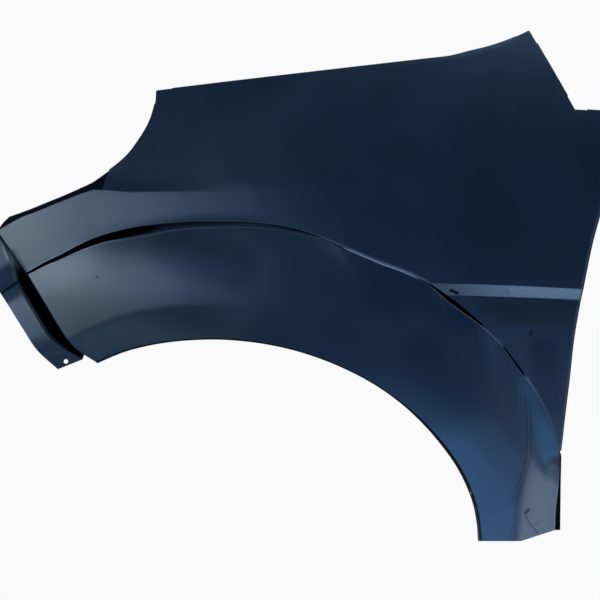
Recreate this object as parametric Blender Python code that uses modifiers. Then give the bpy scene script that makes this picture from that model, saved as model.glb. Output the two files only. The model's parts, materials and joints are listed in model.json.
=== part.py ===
# Front fender of a car, left-hand side, as one pressed steel sheet.
# Frame: +X runs to the rear of the car, -Y faces out from the car and +Z is up.
# The origin lies in the middle of the bonnet rail's underside, where it bolts down.
# Run with: blender --background --python part.py

import math

import bmesh
import bpy
import numpy as np
from mathutils import Matrix, Vector

for old in list(bpy.data.objects):
    bpy.data.objects.remove(old, do_unlink=True)

# Driving dimensions in metres.
PANEL_LENGTH = 0.878
PANEL_HEIGHT = 0.715
SHEET = 0.0008
EDGE_RADIUS = 0.0012

NOSE_SWEEP = 0.130
TOP_LEAN = 0.070
LOWER_TUCK = 0.014
CROWN_DEPTH = 0.034
CROWN_SOFTNESS = 0.012
SHOULDER_LEAN = 0.020
SHOULDER_BLEND = 0.020

FLARE_BULGE = 0.018
STEP_DEPTH = 0.009
STEP_WIDTH = 0.014
STEP_FADE = 0.016
CREASE_ROLL = 0.0018
CREASE_ROLL_WIDTH = 0.020
LOW_BAND_TURN = 0.009
FOOT_TURN = 0.010
FOOT_BLEND = 0.018

SWAGE_RISE = 0.009
SWAGE_BAND = 0.0168

HOOD_BEAD = 0.0035
HOOD_WALL = 0.020
HOOD_WALL_LEAN = 0.002
RAIL_WIDTH = 0.024
RAIL_HOLE = 0.009
RAIL_SLOT_LENGTH = 0.014

ARCH_LIP = 0.020
LIP_LEAN = 0.0030
LIP_HOLE = 0.0065

REAR_FLANGE = 0.016
TAB_REACH = 0.020
TAB_HOLE = 0.009

NOTCH_FLANGE = 0.011
LAMP_FLANGE = 0.009

BUMPER_JOGGLE = 0.024
STRIP_FALL = 0.004
STRIP_END_FALL = 0.007
BUMPER_HOLE = 0.0062

CUT_OVERRUN = 0.012

# Numbers of faces along each part of the outline.
LEDGE_STEPS = 8
LAMP_STEPS = 8
HOOD_STEPS = 17
RISE_STEPS = 7
SLOPE_STEPS = 6
FLAT_STEPS = 4
APEX_STEPS = 2
BAND_STEPS = 6
CROWN_STEPS = 8
REAR_STEPS = 8
FLARE_REAR_STEPS = 5
FOOT_SLOPE_STEPS = 2
FOOT_BASE_STEPS = 3
HOLE_SIDES = 20

# Places on the side view as (share of the length from the nose, share of the height from the foot).
HOOD_STRAIGHT_SHARES = ((0.2552, 0.8844), (0.6938, 0.9444))
HOOD_RISE_SHARES = ((0.6938, 0.9444), (0.7257, 0.9491), (0.7576, 0.9589), (0.7895, 0.9687),
                    (0.8214, 0.9824), (0.8525, 1.0))
NOTCH_SLOPE_SHARES = ((0.8525, 1.0), (0.8947, 0.9089), (0.9242, 0.8433))
NOTCH_FLAT_SHARES = ((0.9242, 0.8433), (0.9649, 0.8404), (1.0, 0.8355))
REAR_UPPER_SHARES = ((0.9689, 0.6650), (0.9841, 0.7453), (1.0, 0.8355))
REAR_MIDDLE_SHARES = ((0.9346, 0.4927), (0.9499, 0.5828), (0.9689, 0.6650))
REAR_SWAGE_SHARES = ((0.9303, 0.4717), (0.9346, 0.4927))
REAR_LOWER_SHARES = ((0.8995, 0.1792), (0.9067, 0.2582), (0.9123, 0.3144), (0.9195, 0.3947),
                     (0.9258, 0.4417), (0.9303, 0.4717))
FLARE_REAR_SHARES = ((0.8995, 0.1724), (0.8979, 0.1342), (0.8955, 0.0938), (0.8927, 0.0637),
                     (0.8915, 0.0221))
FLANGE_LINE_SHARES = ((0.9014, 0.1675), (0.9005, 0.0221))
FOOT_SLOPE_SHARES = ((0.8915, 0.0221), (0.8373, 0.0010))
FOOT_BASE_SHARES = ((0.8373, 0.0010), (0.7743, 0.0010))
ARCH_SHARES = ((0.1601, 0.3487), (0.2026, 0.3704), (0.2408, 0.3830), (0.2791, 0.3910),
               (0.3174, 0.3951), (0.3557, 0.3961), (0.3939, 0.3933), (0.4322, 0.3871),
               (0.4705, 0.3773), (0.5088, 0.3634), (0.5470, 0.3452), (0.5853, 0.3226),
               (0.6236, 0.2942), (0.6619, 0.2584), (0.7002, 0.2119), (0.7344, 0.1577),
               (0.7528, 0.1166), (0.7656, 0.0754), (0.7719, 0.0362), (0.7743, 0.0010))
CREASE_LEDGE_SHARES = ((0.0478, 0.5260), (0.0750, 0.5444), (0.1037, 0.5612), (0.1276, 0.5769),
                       (0.1515, 0.5906), (0.1675, 0.5980), (0.1861, 0.6047))
CREASE_LAMP_SHARES = ((0.1861, 0.6047), (0.2207, 0.6143), (0.2552, 0.6202), (0.2727, 0.6225))
CREASE_HOOD_SHARES = ((0.2727, 0.6225), (0.3072, 0.6253), (0.3589, 0.6259), (0.4226, 0.6223),
                      (0.4864, 0.6082), (0.5423, 0.5828), (0.6140, 0.5455), (0.6539, 0.5269),
                      (0.6930, 0.5034))
CREASE_APEX_SHARES = ((0.6930, 0.5034), (0.7193, 0.4809))
CREASE_REAR_SHARES = ((0.7193, 0.4809), (0.7337, 0.4680), (0.7799, 0.4202), (0.8054, 0.3888),
                      (0.8421, 0.3281), (0.8596, 0.2968), (0.8766, 0.2582), (0.8931, 0.2086),
                      (0.8995, 0.1792))
SWAGE_TOP_SHARES = ((0.6930, 0.5034), (0.7490, 0.5024), (0.8373, 0.4985), (0.9346, 0.4927))
SWAGE_LOW_SHARES = ((0.7193, 0.4809), (0.8373, 0.4756), (0.9303, 0.4717))
CROWN_LEDGE_SHARES = ((0.0, 0.6082), (0.0080, 0.6133), (0.0383, 0.6337), (0.0589, 0.6429),
                      (0.1097, 0.6678), (0.1356, 0.6799), (0.1563, 0.6878))
CROWN_LAMP_SHARES = ((0.1563, 0.6878), (0.1861, 0.6858), (0.2293, 0.6833), (0.2632, 0.6833))
CROWN_HOOD_SHARES = ((0.2632, 0.6833), (0.4864, 0.6846), (0.6938, 0.6827))
CROWN_RISE_SHARES = ((0.6938, 0.6827), (0.8373, 0.6748), (0.9250, 0.6690), (0.9689, 0.6650))
LEDGE_TOP_SHARES = ((0.0175, 0.6357), (0.0383, 0.6443), (0.0589, 0.6537), (0.0842, 0.6662),
                    (0.1097, 0.6787), (0.1351, 0.6925), (0.1515, 0.7015), (0.1627, 0.7101))
LAMP_SHARES = ((0.1627, 0.7101), (0.1837, 0.7289), (0.2081, 0.7538), (0.2285, 0.7865),
               (0.2448, 0.8214), (0.2536, 0.8570), (0.2552, 0.8844))
CHAMFER_SHARES = ((0.0, 0.6082), (0.0072, 0.6227), (0.0175, 0.6357))
BUMPER_UP_SHARES = ((0.0478, 0.5260), (0.0255, 0.5632), (0.0, 0.6082))
BUMPER_LOW_SHARES = ((0.1404, 0.3634), (0.1228, 0.3810), (0.1108, 0.3996), (0.0797, 0.4613),
                     (0.0504, 0.5201))
BUMPER_END_SHARES = ((0.1601, 0.3487), (0.1404, 0.3634))
FOLD_SHARES = ((0.1372, 0.3536), (0.1085, 0.3732), (0.0909, 0.3877), (0.0797, 0.4006),
               (0.0526, 0.4535), (0.0303, 0.5005), (0.0223, 0.5338), (0.0112, 0.5749),
               (-0.0032, 0.6043))
STRIP_SHARES = ((0.0973, 0.3340), (0.0781, 0.3546), (0.0622, 0.3739), (0.0415, 0.4123),
                (0.0080, 0.4770), (-0.0144, 0.5201), (-0.0399, 0.5671))
FOOT_FOLD_SHARES = ((0.8490, 0.2929), (0.8450, 0.2000), (0.8360, 0.1000), (0.8270, 0.0))

# How each form grows and fades, as (share of the length, share of the named size).
STEP_DEPTH_SHARES = ((0.048, 0.45), (0.104, 0.45), (0.16, 0.50), (0.24, 0.60), (0.34, 0.48),
                     (0.48, 0.34), (0.542, 0.0), (0.56, -0.20), (0.67, -0.20), (0.695, 0.05),
                     (0.729, 0.55), (0.766, 0.36), (0.79, 0.0), (0.825, 0.12), (0.85, -0.06),
                     (0.9, -0.08))
STEP_WIDTH_SHARES = ((0.048, 0.30), (0.104, 0.46), (0.16, 0.78), (0.23, 1.0), (0.30, 0.75),
                     (0.42, 0.55), (0.535, 0.32), (0.68, 0.26), (0.695, 0.22), (0.729, 0.50),
                     (0.766, 0.32), (0.79, 0.20), (0.825, 0.25), (0.86, 0.20), (0.9, 0.15))
STEP_ROW_SHARES = ((0.0, 0.0), (0.22, 0.16), (0.5, 0.5), (0.78, 0.84), (1.0, 1.0))
CROWN_FADE_SHARES = ((0.0, 1.0), (0.135, 1.0), (0.155, 0.7), (0.175, 0.34), (0.20, 0.20),
                     (0.26, 0.11), (0.37, 0.0))
SHOULDER_FADE_SHARES = ((0.0, 1.0), (0.20, 1.0), (0.45, 0.45), (0.72, 0.0))
CREASE_ROLL_FADE_SHARES = ((0.12, 0.0), (0.22, 0.4), (0.28, 0.7), (0.36, 1.0), (0.42, 0.8), (0.54, 0.0))
SETTLE_SHARES = ((0.05, 0.45), (0.104, 0.45), (0.16, 0.50), (0.24, 0.60), (0.34, 0.74), (0.48, 0.45),
                 (0.62, -0.10), (0.75, -0.65), (0.90, -1.05))
BULGE_SHARES = ((0.05, 0.10), (0.11, 0.25), (0.16, 0.40), (0.25, 0.52), (0.36, 0.56), (0.5, 0.56),
                (0.75, 0.62), (0.9, 0.30))
LOW_BAND_FADE_SHARES = ((0.1, 1.0), (0.25, 0.8), (0.41, 0.0))
JOGGLE_SHARES = ((0.33, 1.0), (0.50, 1.0), (0.53, 0.65), (0.56, 0.30), (0.61, 0.22))
LIP_LEAN_SHARES = ((0.16, 0.3), (0.60, 0.3), (0.74, 1.0), (0.78, 1.0))
CROWN_ROW_SHARES = (0.0, 0.10, 0.24, 0.40, 0.56, 0.72, 0.87, 1.0)
BAND_ROW_SHARES = (0.0, 0.08, 0.22, 0.41, 0.61, 0.81, 1.0)

SWEEP_START_SHARE = 0.85
SWEEP_POWER_SHARE = 2.2
BELT_SHARE = 0.46
LOW_BAND_START_SHARE = 0.70
RAIL_HOLE_SHARES = (0.08, 0.34, 0.66, 0.92)
LIP_HOLE_SHARES = (0.08, 0.30, 0.52, 0.72, 0.90)
BUMPER_HOLE_SHARE = (0.1105, 0.3497)
TAB_UPPER_SHARE = 0.76
TAB_LOWER_SHARE = 0.235


def place(share):
    """A place on the side view in metres."""
    return np.array((share[0] * PANEL_LENGTH, share[1] * PANEL_HEIGHT))


def read(shares, at):
    """The value of a table of shares at one share, along a smooth curve that never overshoots."""
    places = [row[0] for row in shares]
    values = [row[1] for row in shares]
    if at <= places[0]:
        return values[0]
    if at >= places[-1]:
        return values[-1]
    k = max(i for i, start in enumerate(places[:-1]) if start <= at)
    rises = [(values[i + 1] - values[i]) / (places[i + 1] - places[i]) for i in range(len(places) - 1)]
    slopes = []
    for i in (k, k + 1):
        before, after = rises[max(i - 1, 0)], rises[min(i, len(rises) - 1)]
        slopes.append(2 * before * after / (before + after) if before * after > 0 else 0.0)
    span = places[k + 1] - places[k]
    s = (at - places[k]) / span
    return ((2 * s ** 3 - 3 * s ** 2 + 1) * values[k] + (s ** 3 - 2 * s ** 2 + s) * span * slopes[0]
            + (3 * s ** 2 - 2 * s ** 3) * values[k + 1] + (s ** 3 - s ** 2) * span * slopes[1])


def smooth(value):
    value = min(max(value, 0.0), 1.0)
    return value * value * (3 - 2 * value)


def through(points, count):
    """A smooth curve through the points, cut into count equal lengths."""
    points = np.array(points)
    if len(points) > 2:
        knots = np.concatenate(([0], np.cumsum(np.sqrt(np.linalg.norm(np.diff(points, axis=0), axis=1)))))
        ends = np.vstack((2 * points[0] - points[1], points, 2 * points[-1] - points[-2]))
        times = np.concatenate(([-knots[1]], knots, [2 * knots[-1] - knots[-2]]))
        fine = []
        for i in range(1, len(points)):
            t0, t1, t2, t3 = times[i - 1:i + 3]
            a, b, c, d = ends[i - 1:i + 3]
            slope_b = ((c - b) / (t2 - t1) * (t1 - t0) + (b - a) / (t1 - t0) * (t2 - t1)) / (t2 - t0)
            slope_c = ((d - c) / (t3 - t2) * (t2 - t1) + (c - b) / (t2 - t1) * (t3 - t2)) / (t3 - t1)
            span = t2 - t1
            for s in np.linspace(0, 1, 13)[:-1]:
                fine.append((2 * s ** 3 - 3 * s ** 2 + 1) * b + (s ** 3 - 2 * s ** 2 + s) * span * slope_b
                            + (3 * s ** 2 - 2 * s ** 3) * c + (s ** 3 - s ** 2) * span * slope_c)
        points = np.array(fine + [points[-1]])
    run = np.concatenate(([0], np.cumsum(np.linalg.norm(np.diff(points, axis=0), axis=1))))
    at = np.linspace(0, run[-1], count + 1)
    return np.column_stack([np.interp(at, run, points[:, k]) for k in range(points.shape[1])])


def line(shares, count):
    return through([place(share) for share in shares], count)


def chain(*pieces):
    return np.vstack([pieces[0]] + [piece[1:] for piece in pieces[1:]])


def arc_shares(points):
    run = np.concatenate(([0], np.cumsum(np.linalg.norm(np.diff(points, axis=0), axis=1))))
    return run / run[-1] if run[-1] > 0 else np.linspace(0, 1, len(points))


def patch(bottom, top, left, right):
    """A grid of side-view places that fills four curves, rows from bottom to top."""
    u_low, u_high = arc_shares(bottom), arc_shares(top)
    v_left, v_right = arc_shares(left), arc_shares(right)
    rows = []
    for j in range(len(left)):
        row = []
        for i in range(len(bottom)):
            v = v_left[j] + (v_right[j] - v_left[j]) * i / (len(bottom) - 1)
            u = u_low[i] + (u_high[i] - u_low[i]) * v
            point = ((1 - v) * bottom[i] + v * top[i] + (1 - u) * left[j] + u * right[j]
                     - (1 - u) * (1 - v) * bottom[0] - u * (1 - v) * bottom[-1]
                     - (1 - u) * v * top[0] - u * v * top[-1])
            row.append(point)
        rows.append(row)
    rows = np.array(rows)
    rows[0], rows[-1] = bottom, top
    rows[:, 0], rows[:, -1] = left, right
    return rows


def base_depth(x, z):
    """Depth inboard of the plain panel: swept in at the nose, leaning in at the top and foot."""
    ahead = max(0.0, (SWEEP_START_SHARE - x / PANEL_LENGTH) / SWEEP_START_SHARE)
    above = max(0.0, (z / PANEL_HEIGHT - BELT_SHARE) / (1 - BELT_SHARE))
    below = max(0.0, (BELT_SHARE - z / PANEL_HEIGHT) / BELT_SHARE)
    return NOSE_SWEEP * ahead ** SWEEP_POWER_SHARE + TOP_LEAN * above ** 2 + LOWER_TUCK * below ** 2


def swage_height(x):
    return PANEL_HEIGHT * read(SWAGE_TOP_SHARES, x / PANEL_LENGTH)


def crown_height(x):
    shares = CROWN_LEDGE_SHARES + CROWN_LAMP_SHARES[1:] + CROWN_HOOD_SHARES[1:] + CROWN_RISE_SHARES[1:]
    return PANEL_HEIGHT * read(shares, x / PANEL_LENGTH)


def crease_height(x):
    shares = CREASE_LEDGE_SHARES + CREASE_LAMP_SHARES[1:] + CREASE_HOOD_SHARES[1:]
    return PANEL_HEIGHT * read(shares, x / PANEL_LENGTH)


def main_depth(x, z):
    """Depth of the panel above the arch: rear swage, roll into the crease, shoulder and lamp ledge."""
    depth = base_depth(x, z)
    if x > place(SWAGE_TOP_SHARES[0])[0]:
        depth -= SWAGE_RISE * min(max((swage_height(x) - z) / SWAGE_BAND, 0.0), 1.0)
    near = min(max(1 - (z - crease_height(x)) / CREASE_ROLL_WIDTH, 0.0), 1.0)
    depth += CREASE_ROLL * read(CREASE_ROLL_FADE_SHARES, x / PANEL_LENGTH) * near ** 2
    above = max(0.0, z - crown_height(x))
    reach = place(HOOD_STRAIGHT_SHARES[0])[1] - place(CROWN_LAMP_SHARES[-1])[1]
    lean = SHOULDER_LEAN * read(SHOULDER_FADE_SHARES, x / PANEL_LENGTH)
    depth += lean * above ** 2 / ((above + SHOULDER_BLEND) * reach)
    fade = read(CROWN_FADE_SHARES, x / PANEL_LENGTH)
    return depth + CROWN_DEPTH * fade * (1 - math.exp(-above / CROWN_SOFTNESS))


def foot_turn(x, z):
    """Extra depth rearward of the soft fold in the foot."""
    upright = tuple((share[1], share[0]) for share in FOOT_FOLD_SHARES[::-1])
    fold = PANEL_LENGTH * read(upright, z / PANEL_HEIGHT)
    reach = place(FOOT_SLOPE_SHARES[0])[0] - place(FOOT_SLOPE_SHARES[1])[0]
    past = (x - fold) / reach
    soft = FOOT_BLEND / reach
    turned = 0.5 * (past + math.sqrt(past * past + soft * soft)) - 0.5 * soft
    low = smooth(1.3 * (1 - z / place(FOOT_FOLD_SHARES[0])[1]))
    return FOOT_TURN * max(turned, 0.0) * low


def flare_depth(x, z, away, to_arch, crease, along):
    """Depth of the flare at distances away from the step and from the arch."""
    down = away / (away + to_arch)
    joined = main_depth(*crease) - base_depth(*crease) + STEP_DEPTH * read(STEP_DEPTH_SHARES, along)
    settled = STEP_DEPTH * read(SETTLE_SHARES, along)
    local = (joined - settled) * math.exp(-(away / STEP_FADE) ** 1.5)
    swell = FLARE_BULGE * read(BULGE_SHARES, along) * (1 - (1 - down) ** 2)
    low = LOW_BAND_TURN * read(LOW_BAND_FADE_SHARES, x / PANEL_LENGTH)
    band = low * max(0.0, down - LOW_BAND_START_SHARE) / (1 - LOW_BAND_START_SHARE)
    turned = foot_turn(x, z) * smooth(3 * down)
    return base_depth(x, z) + settled * (1 - down) ** 2 + local - swell + band + turned


def distance(curve, places):
    """How far each place on the side view lies from a curve."""
    best = np.full(places.shape[:-1], np.inf)
    for start, end in zip(curve[:-1], curve[1:]):
        run = end - start
        part = np.clip((places - start) @ run / (run @ run), 0, 1)
        best = np.minimum(best, np.linalg.norm(places - start - part[..., None] * run, axis=-1))
    return best


def sideways(path):
    """Unit normals of a side-view path, to the left of its run."""
    tangent = np.gradient(path, axis=0)
    tangent /= np.linalg.norm(tangent, axis=1)[:, None]
    return np.column_stack((-tangent[:, 1], tangent[:, 0]))


def raised(flat, depths):
    """Side-view places and depths as points in space."""
    return np.stack((flat[..., 0], depths, flat[..., 1]), axis=-1)


# Outline curves, nose to rear.
crease_front = chain(line(CREASE_LEDGE_SHARES, LEDGE_STEPS), line(CREASE_LAMP_SHARES, LAMP_STEPS),
                     line(CREASE_HOOD_SHARES, HOOD_STEPS))
crease_apex = line(CREASE_APEX_SHARES, APEX_STEPS)
swage_steps = RISE_STEPS + SLOPE_STEPS + FLAT_STEPS
crease_rear = line(CREASE_REAR_SHARES, swage_steps - APEX_STEPS)
crease = chain(crease_front, crease_apex, crease_rear)
swage_top = line(SWAGE_TOP_SHARES, swage_steps)
swage_low = line(SWAGE_LOW_SHARES, swage_steps - APEX_STEPS)
crown = chain(line(CROWN_LEDGE_SHARES, LEDGE_STEPS), line(CROWN_LAMP_SHARES, LAMP_STEPS),
              line(CROWN_HOOD_SHARES, HOOD_STEPS), line(CROWN_RISE_SHARES, swage_steps))
top = chain(line(LEDGE_TOP_SHARES, LEDGE_STEPS), line(LAMP_SHARES, LAMP_STEPS),
            line(HOOD_STRAIGHT_SHARES, HOOD_STEPS), line(HOOD_RISE_SHARES, RISE_STEPS),
            line(NOTCH_SLOPE_SHARES, SLOPE_STEPS), line(NOTCH_FLAT_SHARES, FLAT_STEPS))
along_crease = crease[:, 0] / PANEL_LENGTH
step_widths = np.array([STEP_WIDTH * read(STEP_WIDTH_SHARES, s) for s in along_crease])
step_foot = crease - sideways(crease) * step_widths[:, None]
arch_steps = len(crease) - 1
arch = line(ARCH_SHARES, arch_steps)
flare_rows = FLARE_REAR_STEPS + FOOT_SLOPE_STEPS + FOOT_BASE_STEPS



def cut(points, shares):
    """The same curve, cut at these shares of its length."""
    run = arc_shares(points)
    return np.column_stack([np.interp(shares, run, points[:, k]) for k in range(points.shape[1])])


band_cuts = np.interp(np.linspace(0, 1, BAND_STEPS + 1), np.linspace(0, 1, len(BAND_ROW_SHARES)), BAND_ROW_SHARES)
crown_cuts = np.interp(np.linspace(0, 1, CROWN_STEPS), np.linspace(0, 1, len(CROWN_ROW_SHARES)), CROWN_ROW_SHARES)
bumper_up = cut(line(BUMPER_UP_SHARES, BAND_STEPS), band_cuts)
bumper_low = through([place(s) for s in BUMPER_LOW_SHARES[:-1]] + [step_foot[0]], flare_rows - 1)
bumper_end = line(BUMPER_END_SHARES, 1)
flare_left = chain(bumper_end, bumper_low)
flare_rear = through([step_foot[-1]] + [place(s) for s in FLARE_REAR_SHARES[1:]], FLARE_REAR_STEPS)
flare_right = chain(flare_rear, line(FOOT_SLOPE_SHARES, FOOT_SLOPE_STEPS),
                    line(FOOT_BASE_SHARES, FOOT_BASE_STEPS))[::-1]

crown_left = cut(line(CHAMFER_SHARES, CROWN_STEPS), crown_cuts)
crown_right = cut(line(REAR_UPPER_SHARES, CROWN_STEPS), crown_cuts)
rear_middle = cut(line(REAR_MIDDLE_SHARES, BAND_STEPS), band_cuts)
rear_swage = line(REAR_SWAGE_SHARES, 1)
rear_lower = line(REAR_LOWER_SHARES, REAR_STEPS)

# Skin patches on the side view, then raised to their depths.
flare_flat = patch(arch, step_foot, flare_left, flare_right)
from_step, from_arch = distance(step_foot, flare_flat), distance(arch, flare_flat)
flare_depths = np.zeros(flare_flat.shape[:2])
for j, row in enumerate(flare_flat):
    for i, point in enumerate(row):
        flare_depths[j, i] = flare_depth(*point, from_step[j, i], from_arch[j, i], crease[i], along_crease[i])
flare = raised(flare_flat, flare_depths)


def main_patch(flat):
    return raised(flat, np.array([[main_depth(*point) for point in row] for row in flat]))


band = main_patch(patch(chain(crease_front, swage_top), crown, bumper_up, rear_middle))
upper = main_patch(patch(crown, top, crown_left, crown_right))
swage = main_patch(np.stack((chain(crease_apex, swage_low), swage_top)))
apex = np.repeat(crease_rear[:1], REAR_STEPS + 1, axis=0)
rear = main_patch(patch(crease_rear, swage_low, apex, rear_lower))
step_top = np.array([(p[0], main_depth(*p), p[1]) for p in crease])
step_rows = []
for across, deep in STEP_ROW_SHARES:
    row = step_top + (flare[-1] - step_top) * across
    row[:, 1] = step_top[:, 1] + (flare[-1][:, 1] - step_top[:, 1]) * deep
    step_rows.append(row)
step = np.array(step_rows[::-1])

# Return flanges, each a strip of rows that starts on the skin's edge.
inboard = np.array((0.0, 1.0, 0.0))
upward = np.array((0.0, 0.0, 1.0))


def outward(path, side):
    """Unit normals of an edge in the side view, pointing off the panel."""
    flat = sideways(path[:, (0, 2)]) * side
    return np.column_stack((flat[:, 0], np.zeros(len(flat)), flat[:, 1]))


def returned(path, side, depths, leans):
    """A flange turned in over a small radius, with a depth and a lean for each place."""
    off = outward(path, side)
    bend = path + off * EDGE_RADIUS * 0.7 + inboard * EDGE_RADIUS * 0.6
    turn = path + off * EDGE_RADIUS + inboard * EDGE_RADIUS * 2
    end = path + off * (EDGE_RADIUS + leans[:, None]) + inboard * depths[:, None]
    return np.array((path, bend, turn, end))


arch_edge = flare[0]
lip_leans = np.array([LIP_LEAN * read(LIP_LEAN_SHARES, p[0] / PANEL_LENGTH) for p in arch_edge])
arch_lip = returned(arch_edge, -1, np.full(len(arch_edge), ARCH_LIP), lip_leans)

hood_first = LEDGE_STEPS + LAMP_STEPS + 1
hood_last = LEDGE_STEPS + LAMP_STEPS + HOOD_STEPS + RISE_STEPS - 1
hood_edge = upper[-1][hood_first:hood_last + 1]
hood_rows = [hood_edge, hood_edge + inboard * HOOD_BEAD]
hood_rows.append(hood_edge + inboard * (HOOD_BEAD + HOOD_WALL_LEAN) - upward * HOOD_WALL)
hood_rows.append(hood_rows[-1] + inboard * RAIL_WIDTH * 0.5)
hood_rows.append(hood_rows[-2] + inboard * RAIL_WIDTH)
hood_flange = np.array(hood_rows)

lamp_edge = upper[-1][LEDGE_STEPS + 1:LEDGE_STEPS + LAMP_STEPS]
lamp_flange = returned(lamp_edge, 1, np.full(len(lamp_edge), LAMP_FLANGE), np.zeros(len(lamp_edge)))
slope_first = LEDGE_STEPS + LAMP_STEPS + HOOD_STEPS + RISE_STEPS + 1
slope_edge = upper[-1][slope_first:slope_first + SLOPE_STEPS - 1]
slope_flange = returned(slope_edge, 1, np.full(len(slope_edge), NOTCH_FLANGE), np.zeros(len(slope_edge)))
flat_edge = upper[-1][slope_first + SLOPE_STEPS:-1]
flat_flange = returned(flat_edge, 1, np.full(len(flat_edge), NOTCH_FLANGE), np.zeros(len(flat_edge)))

rear_path = np.vstack((upper[::-1, -1][1:], band[::-1, -1][1:], swage[::-1, -1][1:],
                       rear[::-1, -1][1:], step[::-1, -1][1:], flare[::-1, -1][1:FLARE_REAR_STEPS + 1]))
lean_line = [place(share) for share in FLANGE_LINE_SHARES]
rear_leans, rear_depths = [], []
for point in rear_path:
    wanted = np.interp(point[2], (lean_line[1][1], lean_line[0][1]), (lean_line[1][0], lean_line[0][0]))
    low = point[2] < place(FLARE_REAR_SHARES[0])[1]
    rear_leans.append(max(wanted - point[0] - EDGE_RADIUS, 0.0) if low else 0.0)
    rear_depths.append(REAR_FLANGE)
rear_leans, rear_depths = np.array(rear_leans), np.array(rear_depths)
for share in (TAB_UPPER_SHARE, TAB_LOWER_SHARE):
    nearest = int(np.argmin(abs(rear_path[:, 2] - share * PANEL_HEIGHT)))
    rear_depths[nearest:nearest + 2] += TAB_REACH
rear_flange = returned(rear_path, 1, rear_depths, rear_leans)
deep = rear_path + outward(rear_path, 1) * (EDGE_RADIUS + rear_leans[:, None]) + inboard * REAR_FLANGE * 0.6
rear_flange = np.vstack((rear_flange[:3], deep[None], rear_flange[3:]))

# Bumper flange: a wall down from the front edge, then a strip under the bumper cover.
front_path = np.vstack((flare[1:, 0], step[1:, 0], band[1:, 0]))
count = len(front_path) - 1
lengths = arc_shares(front_path[:, (0, 2)])


def follow(shares):
    dense = line(shares, 160)
    run = arc_shares(dense)
    return np.column_stack([np.interp(lengths, run, dense[:, k]) for k in (0, 1)])


fold_flat, strip_flat = follow(FOLD_SHARES), follow(STRIP_SHARES)
joggles = np.array([BUMPER_JOGGLE * read(JOGGLE_SHARES, p[2] / PANEL_HEIGHT) for p in front_path])
front_flat = front_path[:, (0, 2)]


def between(share, depth_share):
    flat = front_flat + (fold_flat - front_flat) * share
    return raised(flat, front_path[:, 1] + joggles * depth_share)


low_end = np.clip((place(FOLD_SHARES[3])[1] - fold_flat[:, 1]) / (place(FOLD_SHARES[3])[1] - place(FOLD_SHARES[0])[1]),
                  0, 1)
fold = between(1.0, 1.0)
outer = raised(strip_flat, fold[:, 1] + STRIP_FALL + STRIP_END_FALL * low_end)
middle = raised((fold_flat + strip_flat) / 2, fold[:, 1] + STRIP_FALL * 0.5 + STRIP_END_FALL * low_end * 0.45)
bumper_flange = np.array((front_path, between(0.15, 0.3), between(0.85, 0.86), fold, middle, outer))

# One welded surface from all the grids.
mesh = bmesh.new()
known = {}


def corner(point):
    key = tuple(int(round(value * 1e6)) for value in point)
    if key not in known:
        known[key] = mesh.verts.new([float(value) for value in point])
    return known[key]


def add(grid):
    for low, high in zip(grid[:-1], grid[1:]):
        for i in range(len(low) - 1):
            ring = []
            for point in (low[i], low[i + 1], high[i + 1], high[i]):
                vertex = corner(point)
                if vertex not in ring:
                    ring.append(vertex)
            if len(ring) > 2 and not mesh.faces.get(ring):
                mesh.faces.new(ring)


for grid in (flare, step, band, upper, swage, rear, arch_lip, hood_flange, lamp_flange,
             slope_flange, flat_flange, rear_flange, bumper_flange):
    add(grid)
bmesh.ops.recalc_face_normals(mesh, faces=mesh.faces)
if sum(face.normal.y * face.calc_area() for face in mesh.faces) > 0:
    bmesh.ops.reverse_faces(mesh, faces=mesh.faces)

# The origin moves to the middle of the rail's underside.
rail_inner, rail_outer = hood_flange[-1], hood_flange[-3]
rail_mid = HOOD_STEPS // 2
rail_centre = Vector((rail_inner[rail_mid] + rail_outer[rail_mid]) / 2)
slope = place(HOOD_STRAIGHT_SHARES[1]) - place(HOOD_STRAIGHT_SHARES[0])
rail_tilt = math.atan2(slope[1], slope[0])
rail_normal = Vector((-math.sin(rail_tilt), 0, math.cos(rail_tilt)))
origin = rail_centre - rail_normal * SHEET
bmesh.ops.translate(mesh, verts=mesh.verts, vec=-origin)

parts = bpy.data.collections.new("car_fender")
bpy.context.scene.collection.children.link(parts)
cutters = bpy.data.collections.new("cutters")
bpy.context.scene.collection.children.link(cutters)

data = bpy.data.meshes.new("fender_panel")
mesh.to_mesh(data)
mesh.free()
panel = bpy.data.objects.new("fender_panel", data)
parts.objects.link(panel)

paint = bpy.data.materials.new("dark_blue_coated_steel")
paint.use_nodes = True
shader = paint.node_tree.nodes["Principled BSDF"]
shader.inputs["Base Color"].default_value = (0.010, 0.019, 0.036, 1)
shader.inputs["Roughness"].default_value = 0.32
shader.inputs["Metallic"].default_value = 0.0
data.materials.append(paint)
data.shade_smooth()
data.set_sharp_from_angle(angle=math.radians(30))

skin = panel.modifiers.new("sheet", "SOLIDIFY")
skin.thickness = SHEET
skin.offset = -1
skin.use_even_offset = True
skin.use_quality_normals = True


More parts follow.
